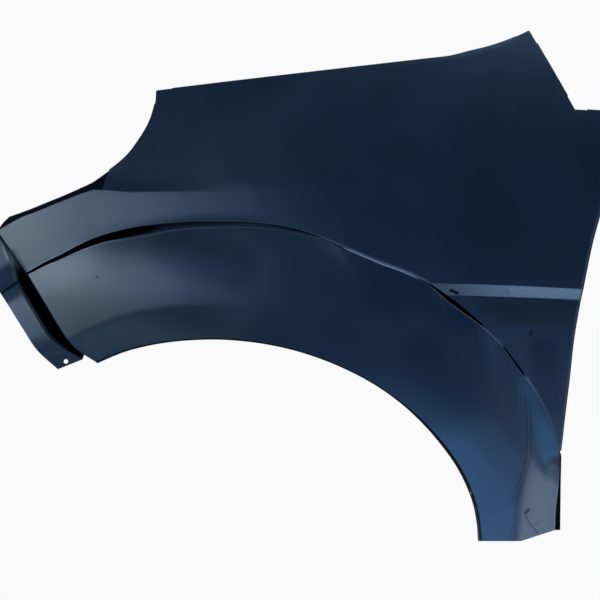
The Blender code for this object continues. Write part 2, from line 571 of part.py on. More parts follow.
def drill(name, centre, axis, diameter, slot=0.0, slot_axis=None):
    """A round or slotted cutter through the sheet, along an axis."""
    cutter_mesh = bmesh.new()
    bmesh.ops.create_cone(cutter_mesh, cap_ends=True, segments=HOLE_SIDES, radius1=diameter / 2,
                          radius2=diameter / 2, depth=CUT_OVERRUN)
    if slot:
        for vertex in cutter_mesh.verts:
            vertex.co.x += math.copysign((slot - diameter) / 2, vertex.co.x)
    bmesh.ops.recalc_face_normals(cutter_mesh, faces=cutter_mesh.faces)
    cutter_data = bpy.data.meshes.new(name)
    cutter_mesh.to_mesh(cutter_data)
    cutter_mesh.free()
    cutter = bpy.data.objects.new(name, cutter_data)
    axis = Vector(axis).normalized()
    if slot_axis is None:
        turn = axis.to_track_quat("Z", "Y").to_matrix().to_4x4()
    else:
        first = Vector(slot_axis).normalized()
        second = axis.cross(first)
        turn = Matrix((first, second, axis)).transposed().to_4x4()
    cutter.matrix_world = Matrix.Translation(Vector(centre) - origin) @ turn
    cutter.hide_render = True
    cutter.display_type = "WIRE"
    cutters.objects.link(cutter)
    cut = panel.modifiers.new(name, "BOOLEAN")
    cut.operation = "DIFFERENCE"
    cut.solver = "EXACT"
    cut.object = cutter


def along(path, share):
    run = arc_shares(path)
    return Vector([float(np.interp(share, run, path[:, k])) for k in range(3)])


rail_line = (rail_inner[:HOOD_STEPS] + rail_outer[:HOOD_STEPS]) / 2
rail_run = Vector(rail_line[-1] - rail_line[0])
for number, share in enumerate(RAIL_HOLE_SHARES, 1):
    drill(f"rail_slot_{number}", along(rail_line, share), rail_normal, RAIL_HOLE, RAIL_SLOT_LENGTH,
          (math.cos(rail_tilt), 0, math.sin(rail_tilt)))
lip_middle = (arch_lip[-1] + arch_lip[-2]) / 2
lip_off = outward(arch_lip[0], -1)
for number, share in enumerate(LIP_HOLE_SHARES, 1):
    drill(f"lip_hole_{number}", along(lip_middle, share), along(lip_off, share), LIP_HOLE)
for number, share in enumerate((TAB_UPPER_SHARE, TAB_LOWER_SHARE), 1):
    nearest = int(np.argmin(abs(rear_path[:, 2] - share * PANEL_HEIGHT)))
    tab_end = Vector((rear_flange[-1][nearest] + rear_flange[-1][nearest + 1]) / 2)
    centre = tab_end - Vector(inboard) * TAB_REACH / 2
    drill(f"tab_hole_{number}", centre, outward(rear_path, 1)[nearest], TAB_HOLE)
hole = place(BUMPER_HOLE_SHARE)
strip_points = np.vstack((fold, middle, outer))
near = np.argsort(np.linalg.norm(strip_points[:, (0, 2)] - hole, axis=1))[:3]
hole_depth = float(np.mean(strip_points[near, 1]))
drill("bumper_hole", (hole[0], hole_depth, hole[1]), inboard, BUMPER_HOLE)
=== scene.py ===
import json
import math

import bmesh
import bpy
import numpy as np
from mathutils import Matrix, Vector

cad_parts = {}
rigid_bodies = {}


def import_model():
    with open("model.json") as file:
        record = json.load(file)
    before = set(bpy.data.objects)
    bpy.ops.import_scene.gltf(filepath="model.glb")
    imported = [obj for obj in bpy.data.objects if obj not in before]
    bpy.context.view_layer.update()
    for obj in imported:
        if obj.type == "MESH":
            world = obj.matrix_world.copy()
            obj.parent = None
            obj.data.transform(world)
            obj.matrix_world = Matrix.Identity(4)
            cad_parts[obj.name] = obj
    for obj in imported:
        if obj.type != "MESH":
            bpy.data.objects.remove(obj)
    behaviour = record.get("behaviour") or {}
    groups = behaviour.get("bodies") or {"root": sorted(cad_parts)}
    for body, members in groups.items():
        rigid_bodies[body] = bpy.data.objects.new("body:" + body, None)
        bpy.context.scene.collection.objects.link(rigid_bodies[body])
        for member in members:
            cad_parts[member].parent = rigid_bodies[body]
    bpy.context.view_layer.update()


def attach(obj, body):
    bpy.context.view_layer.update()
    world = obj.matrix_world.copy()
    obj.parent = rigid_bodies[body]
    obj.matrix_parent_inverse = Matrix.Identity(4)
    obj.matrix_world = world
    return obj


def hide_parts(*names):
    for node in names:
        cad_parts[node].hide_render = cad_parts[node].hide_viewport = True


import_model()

# Studio.
# A pale round floor that fades out at its rim, under a pale even surround. Small soft panels of light
# stand to the nose side, overhead and low at the front and rear, and three large ones stand behind.
# Their tints and powers were chosen to bring the coat near the photograph's tones.

scene = bpy.context.scene
scene.view_settings.view_transform = "Standard"
centre = Vector((0.0, -0.04, -0.2976))

camera_data = bpy.data.cameras.new("camera")
camera = bpy.data.objects.new("camera", camera_data)
scene.collection.objects.link(camera)
camera_distance = 9.0
half_width_seen = 0.4201
camera_data.sensor_width = 36.0
camera_data.lens = camera_data.sensor_width / 2 * camera_distance / half_width_seen
camera.location = (-0.0009, -camera_distance - 0.04, -0.2976)
camera.rotation_euler = (math.radians(90), 0, 0)
camera_data.clip_end = 60.0
scene.camera = camera


def new_material(name):
    material = bpy.data.materials.new(name)
    material.use_nodes = True
    nodes, links = material.node_tree.nodes, material.node_tree.links
    return material, nodes, links, nodes["Principled BSDF"]


bpy.ops.mesh.primitive_circle_add(vertices=96, radius=1.9, fill_type="NGON", location=(0, 0.1, -0.84))
floor = bpy.context.object
floor.name = "pale_floor"
floor.visible_shadow = floor.visible_glossy = floor.visible_diffuse = False
floor_paint, nodes, links, shader = new_material("pale_studio_floor")
shader.inputs["Base Color"].default_value = (0.35, 0.35, 0.36, 1)
shader.inputs["Roughness"].default_value = 0.8
shader.inputs["Emission Color"].default_value = (0.90, 0.90, 0.91, 1)
shader.inputs["Emission Strength"].default_value = 0.80
where = nodes.new("ShaderNodeTexCoord")
length = nodes.new("ShaderNodeVectorMath")
length.operation = "LENGTH"
links.new(where.outputs["Object"], length.inputs[0])
fade = nodes.new("ShaderNodeMapRange")
fade.interpolation_type = "SMOOTHSTEP"
fade.inputs["From Min"].default_value = 0.9
fade.inputs["From Max"].default_value = 1.88
fade.inputs["To Min"].default_value = 1.0
fade.inputs["To Max"].default_value = 0.0
links.new(length.outputs["Value"], fade.inputs["Value"])
links.new(fade.outputs["Result"], shader.inputs["Alpha"])
floor.data.materials.append(floor_paint)

world = bpy.data.worlds.new("pale_surround")
world.use_nodes = True
nodes, links = world.node_tree.nodes, world.node_tree.links
surround = nodes["Background"]
surround.inputs["Color"].default_value = (0.95, 0.95, 0.96, 1)
surround.inputs["Strength"].default_value = 1.0
dim = nodes.new("ShaderNodeBackground")
dim.inputs["Color"].default_value = (0.55, 0.68, 0.90, 1)
dim.inputs["Strength"].default_value = 0.03
path = nodes.new("ShaderNodeLightPath")
mix = nodes.new("ShaderNodeMixShader")
links.new(path.outputs["Is Camera Ray"], mix.inputs["Fac"])
links.new(dim.outputs["Background"], mix.inputs[1])
links.new(surround.outputs["Background"], mix.inputs[2])
links.new(mix.outputs["Shader"], nodes["World Output"].inputs["Surface"])
scene.world = world


def softbox(name, azimuth, elevation, power, colour, distance=2.6, width=0.75, height=0.75):
    """A soft panel of light that faces the middle of the part; azimuth 0 is the camera's side."""
    data = bpy.data.lights.new(name, "AREA")
    data.shape = "RECTANGLE"
    data.size, data.size_y = width, height
    data.energy = power
    data.color = colour
    lamp = bpy.data.objects.new(name, data)
    a, e = math.radians(azimuth), math.radians(elevation)
    away = Vector((math.sin(a) * math.cos(e), -math.cos(a) * math.cos(e), math.sin(e)))
    lamp.location = centre + away * distance
    lamp.rotation_mode = "QUATERNION"
    lamp.rotation_quaternion = away.to_track_quat("Z", "Y")
    lamp.visible_camera = False
    scene.collection.objects.link(lamp)


softbox("nose_side_panel", -57, 14, 12.0, (0.738, 0.894, 1.0))
softbox("high_rear_panel", 30, 60, 18.0, (0.368, 0.622, 1.0))
softbox("overhead_panel", 0, 80, 7.5, (0.729, 1.0, 0.994))
softbox("rear_low_panel", 30, -20, 12.8, (0.543, 0.726, 1.0))
softbox("front_low_panel", 0, -20, 11.6, (0.161, 0.450, 1.0))
softbox("nose_front_panel", -42, 14, 5.6, (0.502, 0.713, 1.0))
softbox("nose_middle_panel", -57, -4, 4.2, (0.564, 0.824, 1.0))
softbox("far_nose_panel", -75, -4, 2.0, (0.706, 0.850, 1.0))
softbox("nose_low_panel", -42, -22, 2.4, (0.377, 0.733, 1.0))
softbox("front_left_panel", -28, 14, 2.4, (0.284, 0.495, 1.0))
softbox("warm_low_panel", 0, -40, 1.6, (1.0, 0.84, 0.30))
softbox("warm_rear_panel", 60, 50, 1.5, (1.0, 0.80, 0.60))
softbox("inner_middle_panel", 180, 12, 110, (0.88, 0.94, 1.0), 2.8, 1.8, 1.6)
softbox("inner_nose_panel", 232, 22, 60, (0.80, 0.90, 1.0), 2.8, 1.2, 1.2)
softbox("inner_rear_panel", 122, 22, 60, (0.85, 0.92, 1.0), 2.8, 1.2, 1.2)


# Fender panel.
# One steel sheet, drawn in a press to the flared arch, the step along its crease and the rear swage,
# then trimmed, with every edge turned in as a flange. It is dipped in a dark blue satin coat.

PANEL_LENGTH = 0.878
PANEL_HEIGHT = 0.715
SHEET = 0.0008
EDGE_RADIUS = 0.0012
NOSE_SWEEP = 0.130
TOP_LEAN = 0.070
LOWER_TUCK = 0.014
CROWN_DEPTH = 0.034
CROWN_SOFTNESS = 0.012
SHOULDER_LEAN = 0.020
SHOULDER_BLEND = 0.020
FLARE_BULGE = 0.018
STEP_DEPTH = 0.009
STEP_WIDTH = 0.014
STEP_FADE = 0.016
CREASE_ROLL = 0.0018
CREASE_ROLL_WIDTH = 0.020
LOW_BAND_TURN = 0.009
FOOT_TURN = 0.010
FOOT_BLEND = 0.018
SWAGE_RISE = 0.009
SWAGE_BAND = 0.0168
HOOD_BEAD = 0.0035
HOOD_WALL = 0.020
HOOD_WALL_LEAN = 0.002
RAIL_WIDTH = 0.024
RAIL_HOLE = 0.009
RAIL_SLOT_LENGTH = 0.014
ARCH_LIP = 0.020
LIP_LEAN = 0.0030
LIP_HOLE = 0.0065
REAR_FLANGE = 0.016
TAB_REACH = 0.020
TAB_HOLE = 0.009
NOTCH_FLANGE = 0.011
LAMP_FLANGE = 0.009
BUMPER_JOGGLE = 0.024
STRIP_FALL = 0.004
STRIP_END_FALL = 0.007
BUMPER_HOLE = 0.0062
CUT_OVERRUN = 0.012

FINE = 3
LEDGE_STEPS = 8 * FINE
LAMP_STEPS = 8 * FINE
HOOD_STEPS = 17 * FINE
RISE_STEPS = 7 * FINE
SLOPE_STEPS = 6 * FINE
FLAT_STEPS = 4 * FINE
APEX_STEPS = 2 * FINE
BAND_STEPS = 7 * FINE
CROWN_STEPS = 7 * FINE
REAR_STEPS = 8 * FINE
FLARE_REAR_STEPS = 5 * FINE
FOOT_SLOPE_STEPS = 2 * FINE
FOOT_BASE_STEPS = 3 * FINE
END_STEPS = FINE
STEP_ROWS = 10
STEP_STRAIGHT_PART = 0.35
HOLE_SIDES = 32
SUPPORT_SHARE = 0.22
CURVE_CUTS = 12
EDGE_CUTS = 160
SHARP_DEGREES = 30

HOOD_STRAIGHT_SHARES = ((0.2552, 0.8844), (0.6938, 0.9444))
HOOD_RISE_SHARES = ((0.6938, 0.9444), (0.7257, 0.9491), (0.7576, 0.9589), (0.7895, 0.9687),
                    (0.8214, 0.9824), (0.8525, 1.0))
NOTCH_SLOPE_SHARES = ((0.8525, 1.0), (0.8947, 0.9089), (0.9242, 0.8433))
NOTCH_FLAT_SHARES = ((0.9242, 0.8433), (0.9649, 0.8404), (1.0, 0.8355))
REAR_UPPER_SHARES = ((0.9689, 0.6650), (0.9841, 0.7453), (1.0, 0.8355))
REAR_MIDDLE_SHARES = ((0.9346, 0.4927), (0.9499, 0.5828), (0.9689, 0.6650))
REAR_LOWER_SHARES = ((0.8995, 0.1792), (0.9067, 0.2582), (0.9123, 0.3144), (0.9195, 0.3947),
                     (0.9258, 0.4417), (0.9303, 0.4717))
FLARE_REAR_SHARES = ((0.8995, 0.1724), (0.8979, 0.1342), (0.8955, 0.0938), (0.8927, 0.0637),
                     (0.8915, 0.0221))
FLANGE_LINE_SHARES = ((0.9014, 0.1675), (0.9005, 0.0221))
FOOT_SLOPE_SHARES = ((0.8915, 0.0221), (0.8373, 0.0010))
FOOT_BASE_SHARES = ((0.8373, 0.0010), (0.7743, 0.0010))
ARCH_SHARES = ((0.1601, 0.3487), (0.2026, 0.3704), (0.2408, 0.3830), (0.2791, 0.3910),
               (0.3174, 0.3951), (0.3557, 0.3961), (0.3939, 0.3933), (0.4322, 0.3871),
               (0.4705, 0.3773), (0.5088, 0.3634), (0.5470, 0.3452), (0.5853, 0.3226),
               (0.6236, 0.2942), (0.6619, 0.2584), (0.7002, 0.2119), (0.7344, 0.1577),
               (0.7528, 0.1166), (0.7656, 0.0754), (0.7719, 0.0362), (0.7743, 0.0010))
CREASE_LEDGE_SHARES = ((0.0478, 0.5260), (0.0750, 0.5444), (0.1037, 0.5612), (0.1276, 0.5769),
                       (0.1515, 0.5906), (0.1675, 0.5980), (0.1861, 0.6047))
CREASE_LAMP_SHARES = ((0.1861, 0.6047), (0.2207, 0.6143), (0.2552, 0.6202), (0.2727, 0.6225))
CREASE_HOOD_SHARES = ((0.2727, 0.6225), (0.3072, 0.6253), (0.3589, 0.6259), (0.4226, 0.6223),
                      (0.4864, 0.6082), (0.5423, 0.5828), (0.6140, 0.5455), (0.6539, 0.5269),
                      (0.6930, 0.5034))
CREASE_APEX_SHARES = ((0.6930, 0.5034), (0.7193, 0.4809))
CREASE_REAR_SHARES = ((0.7193, 0.4809), (0.7337, 0.4680), (0.7799, 0.4202), (0.8054, 0.3888),
                      (0.8421, 0.3281), (0.8596, 0.2968), (0.8766, 0.2582), (0.8931, 0.2086),
                      (0.8995, 0.1792))
SWAGE_TOP_SHARES = ((0.6930, 0.5034), (0.7490, 0.5024), (0.8373, 0.4985), (0.9346, 0.4927))
SWAGE_LOW_SHARES = ((0.7193, 0.4809), (0.8373, 0.4756), (0.9303, 0.4717))
CROWN_LEDGE_SHARES = ((0.0, 0.6082), (0.0080, 0.6133), (0.0383, 0.6337), (0.0589, 0.6429),
                      (0.1097, 0.6678), (0.1356, 0.6799), (0.1563, 0.6878))
CROWN_LAMP_SHARES = ((0.1563, 0.6878), (0.1861, 0.6858), (0.2293, 0.6833), (0.2632, 0.6833))
CROWN_HOOD_SHARES = ((0.2632, 0.6833), (0.4864, 0.6846), (0.6938, 0.6827))
CROWN_RISE_SHARES = ((0.6938, 0.6827), (0.8373, 0.6748), (0.9250, 0.6690), (0.9689, 0.6650))
LEDGE_TOP_SHARES = ((0.0175, 0.6357), (0.0383, 0.6443), (0.0589, 0.6537), (0.0842, 0.6662),
                    (0.1097, 0.6787), (0.1351, 0.6925), (0.1515, 0.7015), (0.1627, 0.7101))
LAMP_SHARES = ((0.1627, 0.7101), (0.1837, 0.7289), (0.2081, 0.7538), (0.2285, 0.7865),
               (0.2448, 0.8214), (0.2536, 0.8570), (0.2552, 0.8844))
CHAMFER_SHARES = ((0.0, 0.6082), (0.0072, 0.6227), (0.0175, 0.6357))
BUMPER_UP_SHARES = ((0.0478, 0.5260), (0.0255, 0.5632), (0.0, 0.6082))
BUMPER_LOW_SHARES = ((0.1404, 0.3634), (0.1228, 0.3810), (0.1108, 0.3996), (0.0797, 0.4613),
                     (0.0504, 0.5201))
BUMPER_END_SHARES = ((0.1601, 0.3487), (0.1404, 0.3634))
FOLD_SHARES = ((0.1372, 0.3536), (0.1085, 0.3732), (0.0909, 0.3877), (0.0797, 0.4006),
               (0.0526, 0.4535), (0.0303, 0.5005), (0.0223, 0.5338), (0.0112, 0.5749),
               (-0.0032, 0.6043))
STRIP_SHARES = ((0.0973, 0.3340), (0.0781, 0.3546), (0.0622, 0.3739), (0.0415, 0.4123),
                (0.0080, 0.4770), (-0.0144, 0.5201), (-0.0399, 0.5671))
FOOT_FOLD_SHARES = ((0.8490, 0.2929), (0.8450, 0.2000), (0.8360, 0.1000), (0.8270, 0.0))

# How each form grows and fades, as (share of the length, share of the named size).
STEP_DEPTH_SHARES = ((0.048, 0.45), (0.104, 0.45), (0.16, 0.50), (0.24, 0.60), (0.34, 0.48),
                     (0.48, 0.34), (0.542, 0.0), (0.56, -0.20), (0.67, -0.20), (0.695, 0.05),
                     (0.729, 0.55), (0.766, 0.36), (0.79, 0.0), (0.825, 0.12), (0.85, -0.06),
                     (0.9, -0.08))
STEP_WIDTH_SHARES = ((0.048, 0.30), (0.104, 0.46), (0.16, 0.78), (0.23, 1.0), (0.30, 0.75),
                     (0.42, 0.55), (0.535, 0.32), (0.68, 0.26), (0.695, 0.22), (0.729, 0.50),
                     (0.766, 0.32), (0.79, 0.20), (0.825, 0.25), (0.86, 0.20), (0.9, 0.15))
CROWN_FADE_SHARES = ((0.0, 1.0), (0.135, 1.0), (0.155, 0.7), (0.175, 0.34), (0.20, 0.20),
                     (0.26, 0.11), (0.37, 0.0))
SHOULDER_FADE_SHARES = ((0.0, 1.0), (0.20, 1.0), (0.45, 0.45), (0.72, 0.0))
CREASE_ROLL_FADE_SHARES = ((0.12, 0.0), (0.22, 0.4), (0.28, 0.7), (0.36, 1.0), (0.42, 0.8),
                           (0.54, 0.0))
SETTLE_SHARES = ((0.05, 0.45), (0.104, 0.45), (0.16, 0.50), (0.24, 0.60), (0.34, 0.74), (0.48, 0.45),
                 (0.62, -0.10), (0.75, -0.65), (0.90, -1.05))
BULGE_SHARES = ((0.05, 0.10), (0.11, 0.25), (0.16, 0.40), (0.25, 0.52), (0.36, 0.56), (0.5, 0.56),
                (0.75, 0.62), (0.9, 0.30))
LOW_BAND_FADE_SHARES = ((0.1, 1.0), (0.25, 0.8), (0.41, 0.0))
JOGGLE_SHARES = ((0.33, 1.0), (0.50, 1.0), (0.53, 0.65), (0.56, 0.30), (0.61, 0.22))
LIP_LEAN_SHARES = ((0.16, 0.3), (0.60, 0.3), (0.74, 1.0), (0.78, 1.0))
CROWN_ROW_SHARES = (0.0, 0.10, 0.24, 0.40, 0.56, 0.72, 0.87, 1.0)
BAND_ROW_SHARES = (0.0, 0.08, 0.22, 0.41, 0.61, 0.81, 1.0)

SWEEP_START_SHARE = 0.85
SWEEP_POWER_SHARE = 2.2
BELT_SHARE = 0.46
LOW_BAND_START_SHARE = 0.70
RAIL_HOLE_SHARES = (0.08, 0.34, 0.66, 0.92)
LIP_HOLE_SHARES = (0.08, 0.30, 0.52, 0.72, 0.90)
BUMPER_HOLE_SHARE = (0.1105, 0.3497)
TAB_UPPER_SHARE = 0.76
TAB_LOWER_SHARE = 0.235

# Painted shade in the folds, painted highlights on the edges and a warm painted glint, as (share of
# the length or height, amount). They follow the photograph's tones, so they are shade and glints.
WALL_PAINTED_SHADE_SHARES = ((0.04, 0.8), (0.09, 1.0), (0.18, 1.0), (0.23, 0.85), (0.28, 0.62), (0.42, 0.58),
                    (0.50, 0.8), (0.545, 0.0), (0.68, 0.0), (0.70, 0.9), (0.74, 1.0), (0.77, 1.0),
                    (0.785, 0.0), (0.805, 0.0), (0.815, 0.9), (0.838, 0.9), (0.85, 0.0))
WALL_FROM_SHARES = ((0.04, 0.0), (0.17, 0.0), (0.20, -0.3), (0.24, -0.8), (0.30, -0.7), (0.36, -0.3),
                    (0.42, 0.45), (0.54, 0.45), (0.60, 0.0), (0.9, 0.0))
WALL_SOFT_SHARES = ((0.04, 0.2), (0.17, 0.2), (0.20, 0.6), (0.24, 1.35), (0.30, 1.3), (0.36, 0.9),
                    (0.42, 0.3), (0.54, 0.2), (0.9, 0.2))
CREASE_LIGHT_SHARES = ((0.04, 0.8), (0.12, 0.6), (0.17, 0.25), (0.25, 0.1), (0.50, 0.15), (0.55, 0.5),
                       (0.68, 0.6), (0.70, 0.0), (0.77, 0.0), (0.785, 1.0), (0.80, 0.8), (0.81, 0.0),
                       (0.838, 0.0), (0.848, 0.5), (0.9, 0.4))
FOOT_LIGHT_SHARES = ((0.04, 0.6), (0.12, 0.6), (0.17, 0.45), (0.22, 0.1), (0.24, 0.0), (0.69, 0.0),
                     (0.765, 0.0), (0.785, 0.8), (0.80, 0.9), (0.81, 0.0), (0.838, 0.0), (0.848, 0.4),
                     (0.9, 0.3))
REAR_LIGHT_SHARES = ((0.838, 0.0), (0.848, 0.45), (0.875, 0.3), (0.9, 0.2))
FOOT_WARM_GLINT_SHARES = ((0.69, 0.0), (0.71, 0.5), (0.75, 0.7), (0.79, 0.5), (0.80, 0.0))
BUMPER_PAINTED_SHADE_SHARES = ((0.33, 1.0), (0.50, 1.0), (0.53, 0.75), (0.56, 0.2), (0.61, 0.1))
BAND_LIGHT_SHARE = 0.8
ARCH_EDGE_PAINTED_SHADE = 0.4
REAR_EDGE_LIGHT = 0.25

# Painted shade on each flange, row by row from its edge inward.
WALL_PAINTED_SHADE = (0.6, 1.0, 1.0, 1.0, 0.35, 0.0)
LIP_PAINTED_SHADE = (0.9, 1.0, 1.0, 1.0, 0.9, 0.6, 0.35)
REAR_PAINTED_SHADE = (0.8, 1.0, 1.0, 1.0, 0.9, 0.6, 0.35)
LAMP_PAINTED_SHADE = (0.6, 1.0, 1.0, 1.0, 0.8, 0.4, 0.1)
NOTCH_PAINTED_SHADE = (0.2, 0.6, 0.8, 0.8, 0.5, 0.1, 0.0)
HOOD_PAINTED_SHADE = (0.2, 0.6, 0.8, 0.5, 0.1)


def socket_group(name, inputs, outputs):
    """A shader node group with these float or vector inputs and outputs."""
    group = bpy.data.node_groups.new(name, "ShaderNodeTree")
    for label, kind in inputs:
        group.interface.new_socket(label, in_out="INPUT", socket_type=kind)
    for label, kind in outputs:
        group.interface.new_socket(label, in_out="OUTPUT", socket_type=kind)
    return group, group.nodes.new("NodeGroupInput"), group.nodes.new("NodeGroupOutput")


def math_node(nodes, links, operation, first, second=None, third=None, clamp=False):
    node = nodes.new("ShaderNodeMath")
    node.operation = operation
    node.use_clamp = clamp
    for socket, value in zip(node.inputs, (first, second, third)):
        if hasattr(value, "links"):
            links.new(value, socket)
        elif value is not None:
            socket.default_value = value
    return node.outputs[0]


def noise_node(nodes, links, where, scale, detail, rough):
    node = nodes.new("ShaderNodeTexNoise")
    node.inputs["Scale"].default_value = scale
    node.inputs["Detail"].default_value = detail
    node.inputs["Roughness"].default_value = rough
    links.new(where, node.inputs["Vector"])
    return node.outputs["Fac"]


def spread(nodes, links, value, low, high, to_low=0.0, to_high=1.0):
    node = nodes.new("ShaderNodeMapRange")
    node.interpolation_type = "SMOOTHSTEP"
    limits = (("From Min", low), ("From Max", high), ("To Min", to_low), ("To Max", to_high))
    for label, number in limits:
        node.inputs[label].default_value = number
    links.new(value, node.inputs["Value"])
    return node.outputs["Result"]


def tinted(nodes, links, amount, below, above):
    """One colour over another, by an amount; either colour may be a socket."""
    node = nodes.new("ShaderNodeMix")
    node.data_type = "RGBA"
    links.new(amount, node.inputs["Factor"])
    for label, colour in (("A", below), ("B", above)):
        if hasattr(colour, "links"):
            links.new(colour, node.inputs[label])
        else:
            node.inputs[label].default_value = (*colour, 1)
    return node.outputs["Result"]


# Surface: the slow ripple and fine peel of a dipped coat, with settled dust.
surface, given, told = socket_group(
    "dipped_coat_surface", [("Place", "NodeSocketVector")],
    [("Cloud", "NodeSocketFloat"), ("Dust", "NodeSocketFloat"), ("Height", "NodeSocketFloat")])
nodes, links = surface.nodes, surface.links
place_socket = given.outputs["Place"]
cloud = noise_node(nodes, links, place_socket, 7.0, 4.0, 0.55)
links.new(spread(nodes, links, cloud, 0.30, 0.70), told.inputs["Cloud"])
grains = noise_node(nodes, links, place_socket, 900.0, 2.0, 0.6)
patches = noise_node(nodes, links, place_socket, 16.0, 3.0, 0.6)
dust = math_node(nodes, links, "MULTIPLY", spread(nodes, links, grains, 0.60, 0.74),
                 spread(nodes, links, patches, 0.45, 0.68))
links.new(dust, told.inputs["Dust"])
peel = noise_node(nodes, links, place_socket, 240.0, 2.0, 0.4)
ripple = noise_node(nodes, links, place_socket, 18.0, 1.0, 0.3)
height = math_node(nodes, links, "MULTIPLY_ADD", ripple, 3.0, peel)
links.new(height, told.inputs["Height"])

# A mark along a straight run between two places, with soft sides and ends.
mark_group, given, told = socket_group(
    "drawn_mark",
    [("Place", "NodeSocketVector"), ("Start", "NodeSocketVector"), ("End", "NodeSocketVector"),
     ("Width", "NodeSocketFloat")],
    [("Mark", "NodeSocketFloat")])
nodes, links = mark_group.nodes, mark_group.links


def vector_node(nodes, links, operation, first, second=None, scale=None):
    node = nodes.new("ShaderNodeVectorMath")
    node.operation = operation
    links.new(first, node.inputs[0])
    if second is not None:
        if hasattr(second, "links"):
            links.new(second, node.inputs[1])
        else:
            node.inputs[1].default_value = second
    if scale is not None:
        links.new(scale, node.inputs["Scale"])
    return node


flat = (1.0, 0.0, 1.0)
here = vector_node(nodes, links, "MULTIPLY", given.outputs["Place"], flat).outputs["Vector"]
gap = vector_node(nodes, links, "SUBTRACT", here, given.outputs["Start"]).outputs["Vector"]
run_node = vector_node(nodes, links, "SUBTRACT", given.outputs["End"], given.outputs["Start"])
run = run_node.outputs["Vector"]
ahead = vector_node(nodes, links, "DOT_PRODUCT", gap, run).outputs["Value"]
whole = vector_node(nodes, links, "DOT_PRODUCT", run, run).outputs["Value"]
part = math_node(nodes, links, "DIVIDE", ahead, whole, clamp=True)
foot = vector_node(nodes, links, "SCALE", run, scale=part).outputs["Vector"]
off = vector_node(nodes, links, "SUBTRACT", gap, foot).outputs["Vector"]
size = vector_node(nodes, links, "LENGTH", off).outputs["Value"]
ratio = math_node(nodes, links, "DIVIDE", size, given.outputs["Width"])
links.new(spread(nodes, links, ratio, 0.35, 1.0, 1.0, 0.0), told.inputs["Mark"])


def surface_of(nodes, links):
    where = nodes.new("ShaderNodeTexCoord")
    node = nodes.new("ShaderNodeGroup")
    node.node_tree = surface
    links.new(where.outputs["Object"], node.inputs["Place"])
    return where.outputs["Object"], node


def attribute(nodes, name):
    node = nodes.new("ShaderNodeAttribute")
    node.attribute_name = name
    return node.outputs["Fac"]


def marked(nodes, links, where, runs):
    """The strongest of some marks on the side view, each as (start, end, half width, amount)."""
    strongest = None
    for start, end, width, amount in runs:
        node = nodes.new("ShaderNodeGroup")
        node.node_tree = mark_group
        links.new(where, node.inputs["Place"])
        node.inputs["Start"].default_value = (start[0], 0.0, start[1])
        node.inputs["End"].default_value = (end[0], 0.0, end[1])
        node.inputs["Width"].default_value = width
        drawn = math_node(nodes, links, "MULTIPLY", node.outputs["Mark"], amount)
        strongest = drawn if strongest is None else math_node(nodes, links, "MAXIMUM", strongest, drawn)
    return strongest


# Faint double line pressed into the rear of the flare.
DOUBLE_LINE = (((0.3127, -0.4291), (0.3148, -0.4725), (0.3153, -0.5145), (0.3064, -0.5439),
                (0.2945, -0.5733)),
               ((0.3183, -0.4319), (0.3204, -0.4725), (0.3207, -0.5159), (0.3120, -0.5467),
                (0.2994, -0.5761)))
LINE_HALF_WIDTH = 0.0016
LINE_AMOUNT = 0.32
faint_runs = [(start, end, LINE_HALF_WIDTH, LINE_AMOUNT)
              for points in DOUBLE_LINE for start, end in zip(points[:-1], points[1:])]

# Small scratches and specks, each as (start, end, half width, amount) on the side view.
SMALL_MARKS = (((0.3134, -0.5941), (0.3171, -0.5896), 0.0036, 0.8),
               ((0.3129, -0.5967), (0.3197, -0.6097), 0.0016, 0.62),
               ((0.3197, -0.6097), (0.3305, -0.6224), 0.0016, 0.62),
               ((0.3256, -0.6105), (0.3344, -0.6055), 0.0014, 0.4),
               ((0.3204, -0.3415), (0.3197, -0.3457), 0.003, 0.45),
               ((0.3302, -0.3611), (0.3305, -0.3632), 0.0026, 0.35),
               ((0.2882, -0.2876), (0.2889, -0.2883), 0.0022, 0.25),
               ((-0.2860, -0.2644), (-0.2855, -0.266), 0.0022, 0.6),
               ((0.2091, -0.284), (0.2181, -0.2882), 0.003, 0.95))

# Soft areas of painted shade under the swage, and of painted highlight on the swage, foot, strip, nose
# and the band above the crease. They were placed by eye to match the photograph's tones, so haze there
# is a guess.
SWAGE_SHADES = (((0.2567, -0.3079), (0.408, -0.3114), 0.0125, 0.7),
                ((0.2791, -0.3212), (0.408, -0.3247), 0.0125, 0.7))
PAINTED_HIGHLIGHT_PATCHES = (((0.2980, -0.2848), (0.395, -0.2925), 0.010, 0.18),
               ((0.3512, -0.5355), (0.3540, -0.5495), 0.013, 0.7),
               ((-0.4070, -0.2974), (-0.3706, -0.3506), 0.020, 0.18),
               ((-0.365, -0.2638), (-0.3202, -0.2442), 0.042, 0.20),
               ((-0.2740, -0.1742), (-0.0850, -0.1560), 0.030, 0.08),
               ((0.2812, -0.6168), (0.3442, -0.5859), 0.036, 0.13))

# Soft areas that mirror less, as painted shade on the flare. They were also
# placed to match the photograph's tones.
DULL_PAINTED_SHADES = (((-0.1802, -0.2274), (-0.092, -0.2526), 0.048, 0.36),
               ((0.1671, -0.3815), (0.2259, -0.4375), 0.048, 0.22),
               ((0.3372, -0.3674), (0.3456, -0.4445), 0.028, 0.30))

